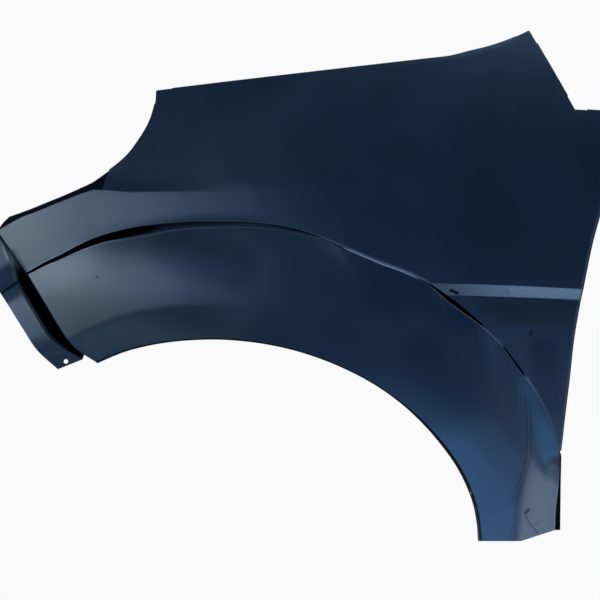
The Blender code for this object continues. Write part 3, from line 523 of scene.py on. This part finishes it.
coat, nodes, links, shader = new_material("dark_blue_satin_coat")
where, made_surface = surface_of(nodes, links)
# Painted shade in the folds and flanges, read from the fold attribute.
painted_fold_shade = spread(nodes, links, attribute(nodes, "fold"), 0.15, 0.85)
faint_lines = marked(nodes, links, where, faint_runs)
spots = marked(nodes, links, where, SMALL_MARKS)
colour = tinted(nodes, links, made_surface.outputs["Cloud"],
                (0.0078, 0.0180, 0.0365), (0.0100, 0.0220, 0.0430))
# Painted shade under the swage; painted highlights on patches and edges; a warm painted glint at the
# step's foot.
for amount, tone in ((faint_lines, (0.001, 0.002, 0.005)),
                     (spots, (0.001, 0.001, 0.002)),
                     (marked(nodes, links, where, SWAGE_SHADES), (0.001, 0.007, 0.011)),
                     (marked(nodes, links, where, PAINTED_HIGHLIGHT_PATCHES), (0.15, 0.17, 0.19)),
                     (attribute(nodes, "edge"), (0.26, 0.31, 0.36)),
                     (attribute(nodes, "warm"), (0.24, 0.15, 0.12))):
    colour = tinted(nodes, links, amount, colour, tone)
dusty = math_node(nodes, links, "MULTIPLY", made_surface.outputs["Dust"], 0.10)
colour = tinted(nodes, links, dusty, colour, (0.16, 0.18, 0.20))
# Painted shade: the folds and flanges turn near black, rougher and without their coat's shine.
colour = tinted(nodes, links, painted_fold_shade, colour, (0.0008, 0.0008, 0.0014))
links.new(colour, shader.inputs["Base Color"])
rough = math_node(nodes, links, "MULTIPLY_ADD", made_surface.outputs["Cloud"], 0.05, 0.315)
rough = math_node(nodes, links, "MULTIPLY_ADD", made_surface.outputs["Dust"], 0.25, rough)
rough = math_node(nodes, links, "MULTIPLY_ADD", painted_fold_shade, 0.5, rough)
links.new(rough, shader.inputs["Roughness"])
# Dull where the real lines and spots are, and where painted shade lies in folds and soft patches.
dull_marks_and_painted_shade = math_node(nodes, links, "MAXIMUM", faint_lines, spots)
dull_marks_and_painted_shade = math_node(nodes, links, "MAXIMUM", painted_fold_shade, dull_marks_and_painted_shade)
dull_marks_and_painted_shade = math_node(nodes, links, "MAXIMUM", dull_marks_and_painted_shade, marked(nodes, links, where, DULL_PAINTED_SHADES))
coated = spread(nodes, links, dull_marks_and_painted_shade, 0.0, 0.8, 0.3, 0.0)
links.new(coated, shader.inputs["Coat Weight"])
shader.inputs["Coat Roughness"].default_value = 0.22
links.new(dull_marks_and_painted_shade, shader.inputs["Metallic"])
bump = nodes.new("ShaderNodeBump")
bump.inputs["Strength"].default_value = 0.06
bump.inputs["Distance"].default_value = 0.0002
links.new(made_surface.outputs["Height"], bump.inputs["Height"])
links.new(bump.outputs["Normal"], shader.inputs["Normal"])

# The ledge and flange beside the lamp and the rear flange. The photograph shows them in deep shade, so
# this coat is near black and hardly shines. Their real finish is a guess.
shade, nodes, links, shader = new_material("shaded_flange_coat")
shader.inputs["Base Color"].default_value = (0.0050, 0.0070, 0.0120, 1)
shader.inputs["Roughness"].default_value = 0.8
shader.inputs["Specular IOR Level"].default_value = 0.0

primer, nodes, links, shader = new_material("dark_inner_primer")
where, made_surface = surface_of(nodes, links)
colour = tinted(nodes, links, made_surface.outputs["Cloud"],
                (0.0128, 0.0205, 0.0335), (0.0158, 0.0245, 0.0380))
dusty = math_node(nodes, links, "MULTIPLY", made_surface.outputs["Dust"], 0.30)
links.new(tinted(nodes, links, dusty, colour, (0.12, 0.12, 0.12)), shader.inputs["Base Color"])
rough = math_node(nodes, links, "MULTIPLY_ADD", made_surface.outputs["Cloud"], 0.10, 0.40)
links.new(rough, shader.inputs["Roughness"])
bump = nodes.new("ShaderNodeBump")
bump.inputs["Strength"].default_value = 0.15
bump.inputs["Distance"].default_value = 0.0003
links.new(made_surface.outputs["Height"], bump.inputs["Height"])
links.new(bump.outputs["Normal"], shader.inputs["Normal"])


def place(share):
    """A place on the side view in metres."""
    return np.array((share[0] * PANEL_LENGTH, share[1] * PANEL_HEIGHT))


def read(shares, at):
    """The value of a table of shares at one share, along a smooth curve that never overshoots."""
    places = [row[0] for row in shares]
    values = [row[1] for row in shares]
    if at <= places[0]:
        return values[0]
    if at >= places[-1]:
        return values[-1]
    k = max(i for i, start in enumerate(places[:-1]) if start <= at)
    rises = [(values[i + 1] - values[i]) / (places[i + 1] - places[i])
             for i in range(len(places) - 1)]
    slopes = []
    for i in (k, k + 1):
        before, after = rises[max(i - 1, 0)], rises[min(i, len(rises) - 1)]
        slopes.append(2 * before * after / (before + after) if before * after > 0 else 0.0)
    span = places[k + 1] - places[k]
    s = (at - places[k]) / span
    return ((2 * s ** 3 - 3 * s ** 2 + 1) * values[k] + (s ** 3 - 2 * s ** 2 + s) * span * slopes[0]
            + (3 * s ** 2 - 2 * s ** 3) * values[k + 1] + (s ** 3 - s ** 2) * span * slopes[1])


def smooth(value):
    value = min(max(value, 0.0), 1.0)
    return value * value * (3 - 2 * value)


def through(points, count):
    """A smooth curve through the points, cut into count equal lengths."""
    points = np.array(points)
    if len(points) > 2:
        knots = np.concatenate(([0], np.cumsum(np.sqrt(np.linalg.norm(np.diff(points, axis=0), axis=1)))))
        ends = np.vstack((2 * points[0] - points[1], points, 2 * points[-1] - points[-2]))
        times = np.concatenate(([-knots[1]], knots, [2 * knots[-1] - knots[-2]]))
        fine = []
        for i in range(1, len(points)):
            t0, t1, t2, t3 = times[i - 1:i + 3]
            a, b, c, d = ends[i - 1:i + 3]
            slope_b = ((c - b) / (t2 - t1) * (t1 - t0) + (b - a) / (t1 - t0) * (t2 - t1)) / (t2 - t0)
            slope_c = ((d - c) / (t3 - t2) * (t2 - t1) + (c - b) / (t2 - t1) * (t3 - t2)) / (t3 - t1)
            span = t2 - t1
            for s in np.linspace(0, 1, CURVE_CUTS + 1)[:-1]:
                fine.append((2 * s ** 3 - 3 * s ** 2 + 1) * b + (s ** 3 - 2 * s ** 2 + s) * span * slope_b
                            + (3 * s ** 2 - 2 * s ** 3) * c + (s ** 3 - s ** 2) * span * slope_c)
        points = np.array(fine + [points[-1]])
    run = np.concatenate(([0], np.cumsum(np.linalg.norm(np.diff(points, axis=0), axis=1))))
    at = np.linspace(0, run[-1], count + 1)
    return np.column_stack([np.interp(at, run, points[:, k]) for k in range(points.shape[1])])


def line(shares, count):
    return through([place(share) for share in shares], count)


def chain(*pieces):
    return np.vstack([pieces[0]] + [piece[1:] for piece in pieces[1:]])


def arc_shares(points):
    run = np.concatenate(([0], np.cumsum(np.linalg.norm(np.diff(points, axis=0), axis=1))))
    return run / run[-1] if run[-1] > 0 else np.linspace(0, 1, len(points))


def patch(bottom, top, left, right):
    """A grid of side-view places that fills four curves, rows from bottom to top."""
    u_low, u_high = arc_shares(bottom), arc_shares(top)
    v_left, v_right = arc_shares(left), arc_shares(right)
    rows = []
    for j in range(len(left)):
        row = []
        for i in range(len(bottom)):
            v = v_left[j] + (v_right[j] - v_left[j]) * i / (len(bottom) - 1)
            u = u_low[i] + (u_high[i] - u_low[i]) * v
            point = ((1 - v) * bottom[i] + v * top[i] + (1 - u) * left[j] + u * right[j]
                     - (1 - u) * (1 - v) * bottom[0] - u * (1 - v) * bottom[-1]
                     - (1 - u) * v * top[0] - u * v * top[-1])
            row.append(point)
        rows.append(row)
    rows = np.array(rows)
    rows[0], rows[-1] = bottom, top
    rows[:, 0], rows[:, -1] = left, right
    return rows


def base_depth(x, z):
    """Depth inboard of the plain panel: swept in at the nose, leaning in at the top and foot."""
    ahead = max(0.0, (SWEEP_START_SHARE - x / PANEL_LENGTH) / SWEEP_START_SHARE)
    above = max(0.0, (z / PANEL_HEIGHT - BELT_SHARE) / (1 - BELT_SHARE))
    below = max(0.0, (BELT_SHARE - z / PANEL_HEIGHT) / BELT_SHARE)
    return NOSE_SWEEP * ahead ** SWEEP_POWER_SHARE + TOP_LEAN * above ** 2 + LOWER_TUCK * below ** 2


def swage_height(x):
    return PANEL_HEIGHT * read(SWAGE_TOP_SHARES, x / PANEL_LENGTH)


def crown_height(x):
    shares = (CROWN_LEDGE_SHARES + CROWN_LAMP_SHARES[1:] + CROWN_HOOD_SHARES[1:]
              + CROWN_RISE_SHARES[1:])
    return PANEL_HEIGHT * read(shares, x / PANEL_LENGTH)


def crease_height(x):
    shares = CREASE_LEDGE_SHARES + CREASE_LAMP_SHARES[1:] + CREASE_HOOD_SHARES[1:]
    return PANEL_HEIGHT * read(shares, x / PANEL_LENGTH)


def main_depth(x, z):
    """Depth of the panel above the arch: rear swage, roll into the crease, shoulder and lamp ledge."""
    depth = base_depth(x, z)
    if x > place(SWAGE_TOP_SHARES[0])[0]:
        depth -= SWAGE_RISE * min(max((swage_height(x) - z) / SWAGE_BAND, 0.0), 1.0)
    near = min(max(1 - (z - crease_height(x)) / CREASE_ROLL_WIDTH, 0.0), 1.0)
    depth += CREASE_ROLL * read(CREASE_ROLL_FADE_SHARES, x / PANEL_LENGTH) * near ** 2
    above = max(0.0, z - crown_height(x))
    reach = place(HOOD_STRAIGHT_SHARES[0])[1] - place(CROWN_LAMP_SHARES[-1])[1]
    lean = SHOULDER_LEAN * read(SHOULDER_FADE_SHARES, x / PANEL_LENGTH)
    depth += lean * above ** 2 / ((above + SHOULDER_BLEND) * reach)
    fade = read(CROWN_FADE_SHARES, x / PANEL_LENGTH)
    return depth + CROWN_DEPTH * fade * (1 - math.exp(-above / CROWN_SOFTNESS))


def foot_turn(x, z):
    """Extra depth rearward of the soft fold in the foot."""
    upright = tuple((share[1], share[0]) for share in FOOT_FOLD_SHARES[::-1])
    fold = PANEL_LENGTH * read(upright, z / PANEL_HEIGHT)
    reach = place(FOOT_SLOPE_SHARES[0])[0] - place(FOOT_SLOPE_SHARES[1])[0]
    past = (x - fold) / reach
    soft = FOOT_BLEND / reach
    turned = 0.5 * (past + math.sqrt(past * past + soft * soft)) - 0.5 * soft
    low = smooth(1.3 * (1 - z / place(FOOT_FOLD_SHARES[0])[1]))
    return FOOT_TURN * max(turned, 0.0) * low


def flare_depth(x, z, away, to_arch, crease, along):
    """Depth of the flare at distances away from the step and from the arch."""
    down = away / (away + to_arch)
    joined = main_depth(*crease) - base_depth(*crease) + STEP_DEPTH * read(STEP_DEPTH_SHARES, along)
    settled = STEP_DEPTH * read(SETTLE_SHARES, along)
    local = (joined - settled) * math.exp(-(away / STEP_FADE) ** 1.5)
    swell = FLARE_BULGE * read(BULGE_SHARES, along) * (1 - (1 - down) ** 2)
    low = LOW_BAND_TURN * read(LOW_BAND_FADE_SHARES, x / PANEL_LENGTH)
    band = low * max(0.0, down - LOW_BAND_START_SHARE) / (1 - LOW_BAND_START_SHARE)
    turned = foot_turn(x, z) * smooth(3 * down)
    return base_depth(x, z) + settled * (1 - down) ** 2 + local - swell + band + turned


def distance(curve, places):
    """How far each place on the side view lies from a curve."""
    best = np.full(places.shape[:-1], np.inf)
    for start, end in zip(curve[:-1], curve[1:]):
        run = end - start
        part = np.clip((places - start) @ run / (run @ run), 0, 1)
        best = np.minimum(best, np.linalg.norm(places - start - part[..., None] * run, axis=-1))
    return best


def sideways(path):
    """Unit normals of a side-view path, to the left of its run."""
    tangent = np.gradient(path, axis=0)
    tangent /= np.linalg.norm(tangent, axis=1)[:, None]
    return np.column_stack((-tangent[:, 1], tangent[:, 0]))


def raised(flat, depths):
    """Side-view places and depths as points in space."""
    return np.stack((flat[..., 0], depths, flat[..., 1]), axis=-1)


def eased(count, low=True, high=True):
    """Even cuts with a close support row beside each end that meets a fold."""
    cuts = list(np.linspace(0, 1, count + 1))
    if low:
        cuts.insert(1, cuts[1] * SUPPORT_SHARE)
    if high:
        cuts.insert(-1, 1 - (1 - cuts[-2]) * SUPPORT_SHARE)
    return np.array(cuts)


def cut(points, shares):
    """The same curve, cut at these shares of its length."""
    run = arc_shares(points)
    return np.column_stack([np.interp(shares, run, points[:, k]) for k in range(points.shape[1])])


crease_front = chain(line(CREASE_LEDGE_SHARES, LEDGE_STEPS), line(CREASE_LAMP_SHARES, LAMP_STEPS),
                     line(CREASE_HOOD_SHARES, HOOD_STEPS))
crease_apex = line(CREASE_APEX_SHARES, APEX_STEPS)
swage_steps = RISE_STEPS + SLOPE_STEPS + FLAT_STEPS
crease_rear = line(CREASE_REAR_SHARES, swage_steps - APEX_STEPS)
crease = chain(crease_front, crease_apex, crease_rear)
swage_top = line(SWAGE_TOP_SHARES, swage_steps)
swage_low = line(SWAGE_LOW_SHARES, swage_steps - APEX_STEPS)
crown = chain(line(CROWN_LEDGE_SHARES, LEDGE_STEPS), line(CROWN_LAMP_SHARES, LAMP_STEPS),
              line(CROWN_HOOD_SHARES, HOOD_STEPS), line(CROWN_RISE_SHARES, swage_steps))
top = chain(line(LEDGE_TOP_SHARES, LEDGE_STEPS), line(LAMP_SHARES, LAMP_STEPS),
            line(HOOD_STRAIGHT_SHARES, HOOD_STEPS), line(HOOD_RISE_SHARES, RISE_STEPS),
            line(NOTCH_SLOPE_SHARES, SLOPE_STEPS), line(NOTCH_FLAT_SHARES, FLAT_STEPS))
along_crease = crease[:, 0] / PANEL_LENGTH
step_widths = np.array([STEP_WIDTH * read(STEP_WIDTH_SHARES, s) for s in along_crease])
step_foot = crease - sideways(crease) * step_widths[:, None]
arch = line(ARCH_SHARES, len(crease) - 1)
flare_steps = FLARE_REAR_STEPS + FOOT_SLOPE_STEPS + FOOT_BASE_STEPS


def spaced(row_shares, count, low=True):
    """Cuts spread as the row shares are, with a close support row beside the ends."""
    even = np.linspace(0, 1, len(row_shares))
    cuts = list(np.interp(np.linspace(0, 1, count + 1), even, row_shares))
    if low:
        cuts.insert(1, cuts[1] * SUPPORT_SHARE)
        cuts.insert(-1, 1 - (1 - cuts[-2]) * SUPPORT_SHARE)
    return np.array(cuts)


band_cuts = spaced(BAND_ROW_SHARES, BAND_STEPS)
bumper_up = cut(line(BUMPER_UP_SHARES, BAND_STEPS), band_cuts)
bumper_low = through([place(s) for s in BUMPER_LOW_SHARES[:-1]] + [step_foot[0]], flare_steps)
flare_left = chain(line(BUMPER_END_SHARES, END_STEPS),
                   cut(bumper_low, eased(flare_steps - END_STEPS, low=False)))
flare_rear = through([step_foot[-1]] + [place(s) for s in FLARE_REAR_SHARES[1:]], FLARE_REAR_STEPS)
flare_right = chain(cut(flare_rear, eased(FLARE_REAR_STEPS, high=False)),
                    line(FOOT_SLOPE_SHARES, FOOT_SLOPE_STEPS),
                    line(FOOT_BASE_SHARES, FOOT_BASE_STEPS))[::-1]

crown_cuts = spaced(CROWN_ROW_SHARES, CROWN_STEPS, low=False)
crown_left = cut(line(CHAMFER_SHARES, CROWN_STEPS), crown_cuts)
crown_right = cut(line(REAR_UPPER_SHARES, CROWN_STEPS), crown_cuts)
rear_middle = cut(line(REAR_MIDDLE_SHARES, BAND_STEPS), band_cuts)
rear_lower = cut(line(REAR_LOWER_SHARES, REAR_STEPS), eased(REAR_STEPS))

flare_flat = patch(arch, step_foot, flare_left, flare_right)
from_step, from_arch = distance(step_foot, flare_flat), distance(arch, flare_flat)
flare_depths = np.zeros(flare_flat.shape[:2])
for j, row in enumerate(flare_flat):
    for i, point in enumerate(row):
        flare_depths[j, i] = flare_depth(*point, from_step[j, i], from_arch[j, i], crease[i],
                                         along_crease[i])
flare = raised(flare_flat, flare_depths)


def main_patch(flat):
    return raised(flat, np.array([[main_depth(*point) for point in row] for row in flat]))


band = main_patch(patch(chain(crease_front, swage_top), crown, bumper_up, rear_middle))
upper = main_patch(patch(crown, top, crown_left, crown_right))
swage_foot = chain(crease_apex, swage_low)
swage = main_patch(np.array([swage_foot + (swage_top - swage_foot) * s for s in eased(2 * FINE)]))
fan = np.repeat(crease_rear[:1], len(rear_lower), axis=0)
rear = main_patch(patch(crease_rear, swage_low, fan, rear_lower))
step_top = np.array([(p[0], main_depth(*p), p[1]) for p in crease])
step_rows = []
for share in np.linspace(0, 1, STEP_ROWS + 1):
    row = step_top + (flare[-1] - step_top) * share
    fallen = STEP_STRAIGHT_PART * share + (1 - STEP_STRAIGHT_PART) * smooth(share)
    row[:, 1] = step_top[:, 1] + (flare[-1] - step_top)[:, 1] * fallen
    step_rows.append(row)
step = np.array(step_rows[::-1])

inboard = np.array((0.0, 1.0, 0.0))
upward = np.array((0.0, 0.0, 1.0))


def outward(path, side):
    """Unit normals of an edge in the side view, pointing off the panel."""
    flat = sideways(path[:, (0, 2)]) * side
    return np.column_stack((flat[:, 0], np.zeros(len(flat)), flat[:, 1]))


def returned(path, side, depths, leans):
    """A flange turned in over a small radius, with a depth and a lean for each place."""
    off = outward(path, side)
    rows = []
    for turn in np.linspace(0, math.pi / 2, 5):
        rows.append(path + off * EDGE_RADIUS * math.sin(turn)
                    + inboard * EDGE_RADIUS * (1 - math.cos(turn)))
    for share in (0.2, 0.6, 1.0):
        rows.append(path + off * (EDGE_RADIUS + leans[:, None] * share)
                    + inboard * (EDGE_RADIUS + (depths[:, None] - EDGE_RADIUS) * share))
    return np.array(rows)


arch_edge = flare[0]
lip_leans = np.array([LIP_LEAN * read(LIP_LEAN_SHARES, p[0] / PANEL_LENGTH) for p in arch_edge])
arch_lip = returned(arch_edge, -1, np.full(len(arch_edge), ARCH_LIP), lip_leans)

hood_first = LEDGE_STEPS + LAMP_STEPS + FINE
hood_last = LEDGE_STEPS + LAMP_STEPS + HOOD_STEPS + RISE_STEPS - FINE
hood_edge = upper[-1][hood_first:hood_last + 1]
hood_rows = []
for turn in np.linspace(0, math.pi, 7):
    hood_rows.append(hood_edge + inboard * HOOD_BEAD / 2 * (1 - math.cos(turn))
                     + upward * EDGE_RADIUS * 0.7 * math.sin(turn))
for share in (0.15, 0.55, 0.92):
    hood_rows.append(hood_edge + inboard * (HOOD_BEAD + HOOD_WALL_LEAN * share)
                     - upward * HOOD_WALL * share)
wall_foot = hood_edge + inboard * (HOOD_BEAD + HOOD_WALL_LEAN) - upward * HOOD_WALL
hood_rows += [wall_foot + inboard * RAIL_WIDTH * share for share in (0.0, 0.07, 0.5, 1.0)]
hood_flange = np.array(hood_rows)



def plain_flange(edge, depth):
    """A flange of one depth that stands square to the panel."""
    return returned(edge, 1, np.full(len(edge), depth), np.zeros(len(edge)))


lamp_edge = upper[-1][LEDGE_STEPS + FINE:LEDGE_STEPS + LAMP_STEPS - FINE + 1]
lamp_flange = plain_flange(lamp_edge, LAMP_FLANGE)
slope_first = LEDGE_STEPS + LAMP_STEPS + HOOD_STEPS + RISE_STEPS + FINE
slope_edge = upper[-1][slope_first:slope_first + SLOPE_STEPS - 2 * FINE + 1]
slope_flange = plain_flange(slope_edge, NOTCH_FLANGE)
flat_edge = upper[-1][slope_first + SLOPE_STEPS:-FINE]
flat_flange = plain_flange(flat_edge, NOTCH_FLANGE)

relief = int(np.argmin(abs(crown_cuts - CROWN_ROW_SHARES[-2])))
rear_path = np.vstack((upper[relief::-1, -1], band[::-1, -1][1:], swage[::-1, -1][1:],
                       rear[::-1, -1][1:], step[::-1, -1][1:],
                       flare[::-1, -1][1:FLARE_REAR_STEPS + 2]))
lean_line = [place(share) for share in FLANGE_LINE_SHARES]
rear_leans, rear_depths = [], []
for point in rear_path:
    wanted = np.interp(point[2], (lean_line[1][1], lean_line[0][1]),
                       (lean_line[1][0], lean_line[0][0]))
    low = point[2] < place(FLARE_REAR_SHARES[0])[1]
    rear_leans.append(max(wanted - point[0] - EDGE_RADIUS, 0.0) if low else 0.0)
    tab = 0.0
    for share in (TAB_UPPER_SHARE, TAB_LOWER_SHARE):
        past = abs(point[2] - share * PANEL_HEIGHT) / TAB_REACH
        tab = max(tab, smooth((1.25 - past) / 0.6))
    rear_depths.append(REAR_FLANGE + TAB_REACH * tab)
rear_leans, rear_depths = np.array(rear_leans), np.array(rear_depths)
rear_flange = returned(rear_path, 1, rear_depths, rear_leans)

front_path = np.vstack((flare[END_STEPS:, 0], step[1:, 0], band[1:, 0]))
lengths = arc_shares(front_path[:, (0, 2)])
fold_flat = cut(line(FOLD_SHARES, EDGE_CUTS), lengths)
strip_flat = cut(line(STRIP_SHARES, EDGE_CUTS), lengths)
joggles = np.array([BUMPER_JOGGLE * read(JOGGLE_SHARES, p[2] / PANEL_HEIGHT) for p in front_path])
fall_start, fall_end = place(FOLD_SHARES[3])[1], place(FOLD_SHARES[0])[1]
low_end = np.clip((fall_start - fold_flat[:, 1]) / (fall_start - fall_end), 0, 1)
bumper_rows = []
for share, deep in ((0.0, 0.0), (0.05, 0.06), (0.15, 0.3), (0.35, 0.55), (0.65, 0.76), (0.85, 0.88),
                    (0.95, 0.97), (1.0, 1.0)):
    flat = front_path[:, (0, 2)] + (fold_flat - front_path[:, (0, 2)]) * share
    bumper_rows.append(raised(flat, front_path[:, 1] + joggles * deep))
for share in (0.15, 0.4, 0.7, 1.0):
    flat = fold_flat + (strip_flat - fold_flat) * share
    fall = STRIP_FALL * share + STRIP_END_FALL * low_end * share
    bumper_rows.append(raised(flat, bumper_rows[7][:, 1] + fall))
bumper_flange = np.array(bumper_rows)

mesh = bmesh.new()
painted_shade_layer = mesh.verts.layers.float.new("fold")
painted_highlight_layer = mesh.verts.layers.float.new("edge")
painted_warm_glint_layer = mesh.verts.layers.float.new("warm")
known = {}


def corner(point):
    key = tuple(int(round(value * 1e6)) for value in point)
    if key not in known:
        known[key] = mesh.verts.new([float(value) for value in point])
    return known[key]


def add(grid, slot=0):
    for low, high in zip(grid[:-1], grid[1:]):
        for i in range(len(low) - 1):
            ring = []
            for point in (low[i], low[i + 1], high[i + 1], high[i]):
                vertex = corner(point)
                if vertex not in ring:
                    ring.append(vertex)
            if len(ring) > 2:
                mesh.faces.new(ring).material_index = slot


def mark(points, layer, amounts):
    """Writes painted shade on a fold, or a painted highlight or warm glint on an edge, at these points.
    """
    for point, amount in zip(points, amounts):
        vertex = corner(point)
        vertex[layer] = max(vertex[layer], float(amount))


ledge_end = LEDGE_STEPS + FINE
shaded_slot = 2
for grid in (flare, step, band, upper[:, ledge_end:], swage, rear, arch_lip, hood_flange,
             slope_flange, flat_flange, bumper_flange):
    add(grid)
for grid in (upper[:, :ledge_end + 1], lamp_flange, rear_flange):
    add(grid, slot=shaded_slot)


def along_crease_of(shares):
    return np.array([read(shares, s) for s in along_crease])


wall_painted_shade, rear_light = along_crease_of(WALL_PAINTED_SHADE_SHARES), along_crease_of(REAR_LIGHT_SHARES)
wall_from, wall_soft = along_crease_of(WALL_FROM_SHARES), along_crease_of(WALL_SOFT_SHARES)
# Painted shade on the step's wall under the crease, strongest at its top.
for k, row in enumerate(step[:-1]):
    top_only = np.clip((k / (len(step) - 1) - wall_from) / wall_soft, 0, 1)
    mark(row, painted_shade_layer, wall_painted_shade * top_only)
# Painted highlights along the step, its crease and its foot, and a warm painted glint at its foot.
for row in step[1:-1]:
    mark(row, painted_highlight_layer, rear_light)
mark(step[-1], painted_highlight_layer, along_crease_of(CREASE_LIGHT_SHARES))
mark(step[0], painted_highlight_layer, along_crease_of(FOOT_LIGHT_SHARES))
mark(step[0], painted_warm_glint_layer, along_crease_of(FOOT_WARM_GLINT_SHARES))
# Painted shade on the ledge beside the lamp.
ledge_fade = np.clip((LEDGE_STEPS + 1.3 * FINE - np.arange(len(upper[0]))) / (1.6 * FINE), 0, 1)
for row in upper[1:]:
    mark(row, painted_shade_layer, ledge_fade)
# Painted shade on the bumper wall, the turned flanges and the arch edge.
wall_rows = np.array([read(BUMPER_PAINTED_SHADE_SHARES, p[2] / PANEL_HEIGHT) for p in front_path])
for row, amount in zip(bumper_flange[1:7], WALL_PAINTED_SHADE):
    mark(row, painted_shade_layer, wall_rows * amount)
for grid, row_shades in ((arch_lip, LIP_PAINTED_SHADE), (rear_flange, REAR_PAINTED_SHADE), (lamp_flange, LAMP_PAINTED_SHADE),
                    (slope_flange, NOTCH_PAINTED_SHADE), (flat_flange, NOTCH_PAINTED_SHADE),
                    (hood_flange, HOOD_PAINTED_SHADE)):
    for row, amount in zip(grid[1:], row_shades):
        mark(row, painted_shade_layer, np.full(len(row), amount))
mark(arch_lip[0], painted_shade_layer, np.full(len(arch_lip[0]), ARCH_EDGE_PAINTED_SHADE))
# Painted highlights on the rear edge and along the band just above the crease.
mark(rear_flange[0], painted_highlight_layer, np.full(len(rear_path), REAR_EDGE_LIGHT))
near_crease = band[1][:len(crease_front)]
mark(near_crease, painted_highlight_layer,
     [BAND_LIGHT_SHARE * read(CREASE_LIGHT_SHARES, p[0] / PANEL_LENGTH) for p in near_crease])
bmesh.ops.recalc_face_normals(mesh, faces=mesh.faces)
if sum(face.normal.y * face.calc_area() for face in mesh.faces) > 0:
    bmesh.ops.reverse_faces(mesh, faces=mesh.faces)

slope = place(HOOD_STRAIGHT_SHARES[1]) - place(HOOD_STRAIGHT_SHARES[0])
rail_tilt = math.atan2(slope[1], slope[0])
rail_normal = Vector((-math.sin(rail_tilt), 0, math.cos(rail_tilt)))
rail_inner, rail_outer = hood_flange[-1], hood_flange[-4]
rail_line = ((rail_inner + rail_outer) / 2)[:HOOD_STEPS - FINE + 1]
rail_middle = FINE * (HOOD_STEPS // FINE // 2)
origin = Vector(rail_line[rail_middle]) - rail_normal * SHEET
bmesh.ops.translate(mesh, verts=mesh.verts, vec=-origin)
sheet_data = bpy.data.meshes.new("pressed_sheet")
mesh.to_mesh(sheet_data)
mesh.free()
sheet = bpy.data.objects.new("pressed_sheet", sheet_data)
scene.collection.objects.link(sheet)
skin = sheet.modifiers.new("sheet", "SOLIDIFY")
skin.thickness = SHEET
skin.offset = -1
skin.use_even_offset = False
skin.use_quality_normals = True
skin.material_offset = 1
for layer_made in (coat, primer, shade, primer):
    sheet_data.materials.append(layer_made)

cutters = bpy.data.collections.new("cutters")


def drill(centre, axis, diameter, slot=0.0, slot_axis=None):
    """A round or slotted cutter through the sheet, along an axis."""
    cutter_mesh = bmesh.new()
    bmesh.ops.create_cone(cutter_mesh, cap_ends=True, segments=HOLE_SIDES, radius1=diameter / 2,
                          radius2=diameter / 2, depth=CUT_OVERRUN)
    if slot:
        for vertex in cutter_mesh.verts:
            vertex.co.x += math.copysign((slot - diameter) / 2, vertex.co.x)
    bmesh.ops.recalc_face_normals(cutter_mesh, faces=cutter_mesh.faces)
    cutter_data = bpy.data.meshes.new("cutter")
    cutter_mesh.to_mesh(cutter_data)
    cutter_mesh.free()
    cutter = bpy.data.objects.new("cutter", cutter_data)
    axis = Vector(axis).normalized()
    if slot_axis is None:
        turn = axis.to_track_quat("Z", "Y").to_matrix().to_4x4()
    else:
        first = Vector(slot_axis).normalized()
        turn = Matrix((first, axis.cross(first), axis)).transposed().to_4x4()
    cutter.matrix_world = Matrix.Translation(Vector(centre) - origin) @ turn
    cutters.objects.link(cutter)


def along(path, share):
    run = arc_shares(path)
    return Vector([float(np.interp(share, run, path[:, k])) for k in range(3)])


for share in RAIL_HOLE_SHARES:
    drill(along(rail_line, share), rail_normal, RAIL_HOLE, RAIL_SLOT_LENGTH,
          (math.cos(rail_tilt), 0, math.sin(rail_tilt)))
lip_middle = (arch_lip[-1] + arch_lip[4]) / 2
lip_off = outward(arch_lip[0], -1)
for share in LIP_HOLE_SHARES:
    drill(along(lip_middle, share), along(lip_off, share), LIP_HOLE)
rear_off = outward(rear_path, 1)
for share in (TAB_UPPER_SHARE, TAB_LOWER_SHARE):
    nearest = int(np.argmin(abs(rear_path[:, 2] - share * PANEL_HEIGHT)))
    drill(rear_flange[-1][nearest] - inboard * TAB_REACH / 2, rear_off[nearest], TAB_HOLE)
hole = place(BUMPER_HOLE_SHARE)
strip_points = bumper_flange[7:].reshape(-1, 3)
near = np.argsort(np.linalg.norm(strip_points[:, (0, 2)] - hole, axis=1))[:3]
drill((hole[0], float(np.mean(strip_points[near, 1])), hole[1]), inboard, BUMPER_HOLE)
scene.collection.children.link(cutters)
holes = sheet.modifiers.new("holes", "BOOLEAN")
holes.operation = "DIFFERENCE"
holes.solver = "EXACT"
holes.operand_type = "COLLECTION"
holes.collection = cutters
bpy.context.view_layer.update()
made = bpy.data.meshes.new_from_object(sheet.evaluated_get(bpy.context.evaluated_depsgraph_get()))
made.name = "fender_sheet"
panel = bpy.data.objects.new("fender_sheet", made)
scene.collection.objects.link(panel)
for spare in [sheet, *cutters.objects]:
    bpy.data.objects.remove(spare, do_unlink=True)
bpy.data.collections.remove(cutters)
made.shade_smooth()
made.set_sharp_from_angle(angle=math.radians(SHARP_DEGREES))

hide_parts("fender_panel")
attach(panel, "root")
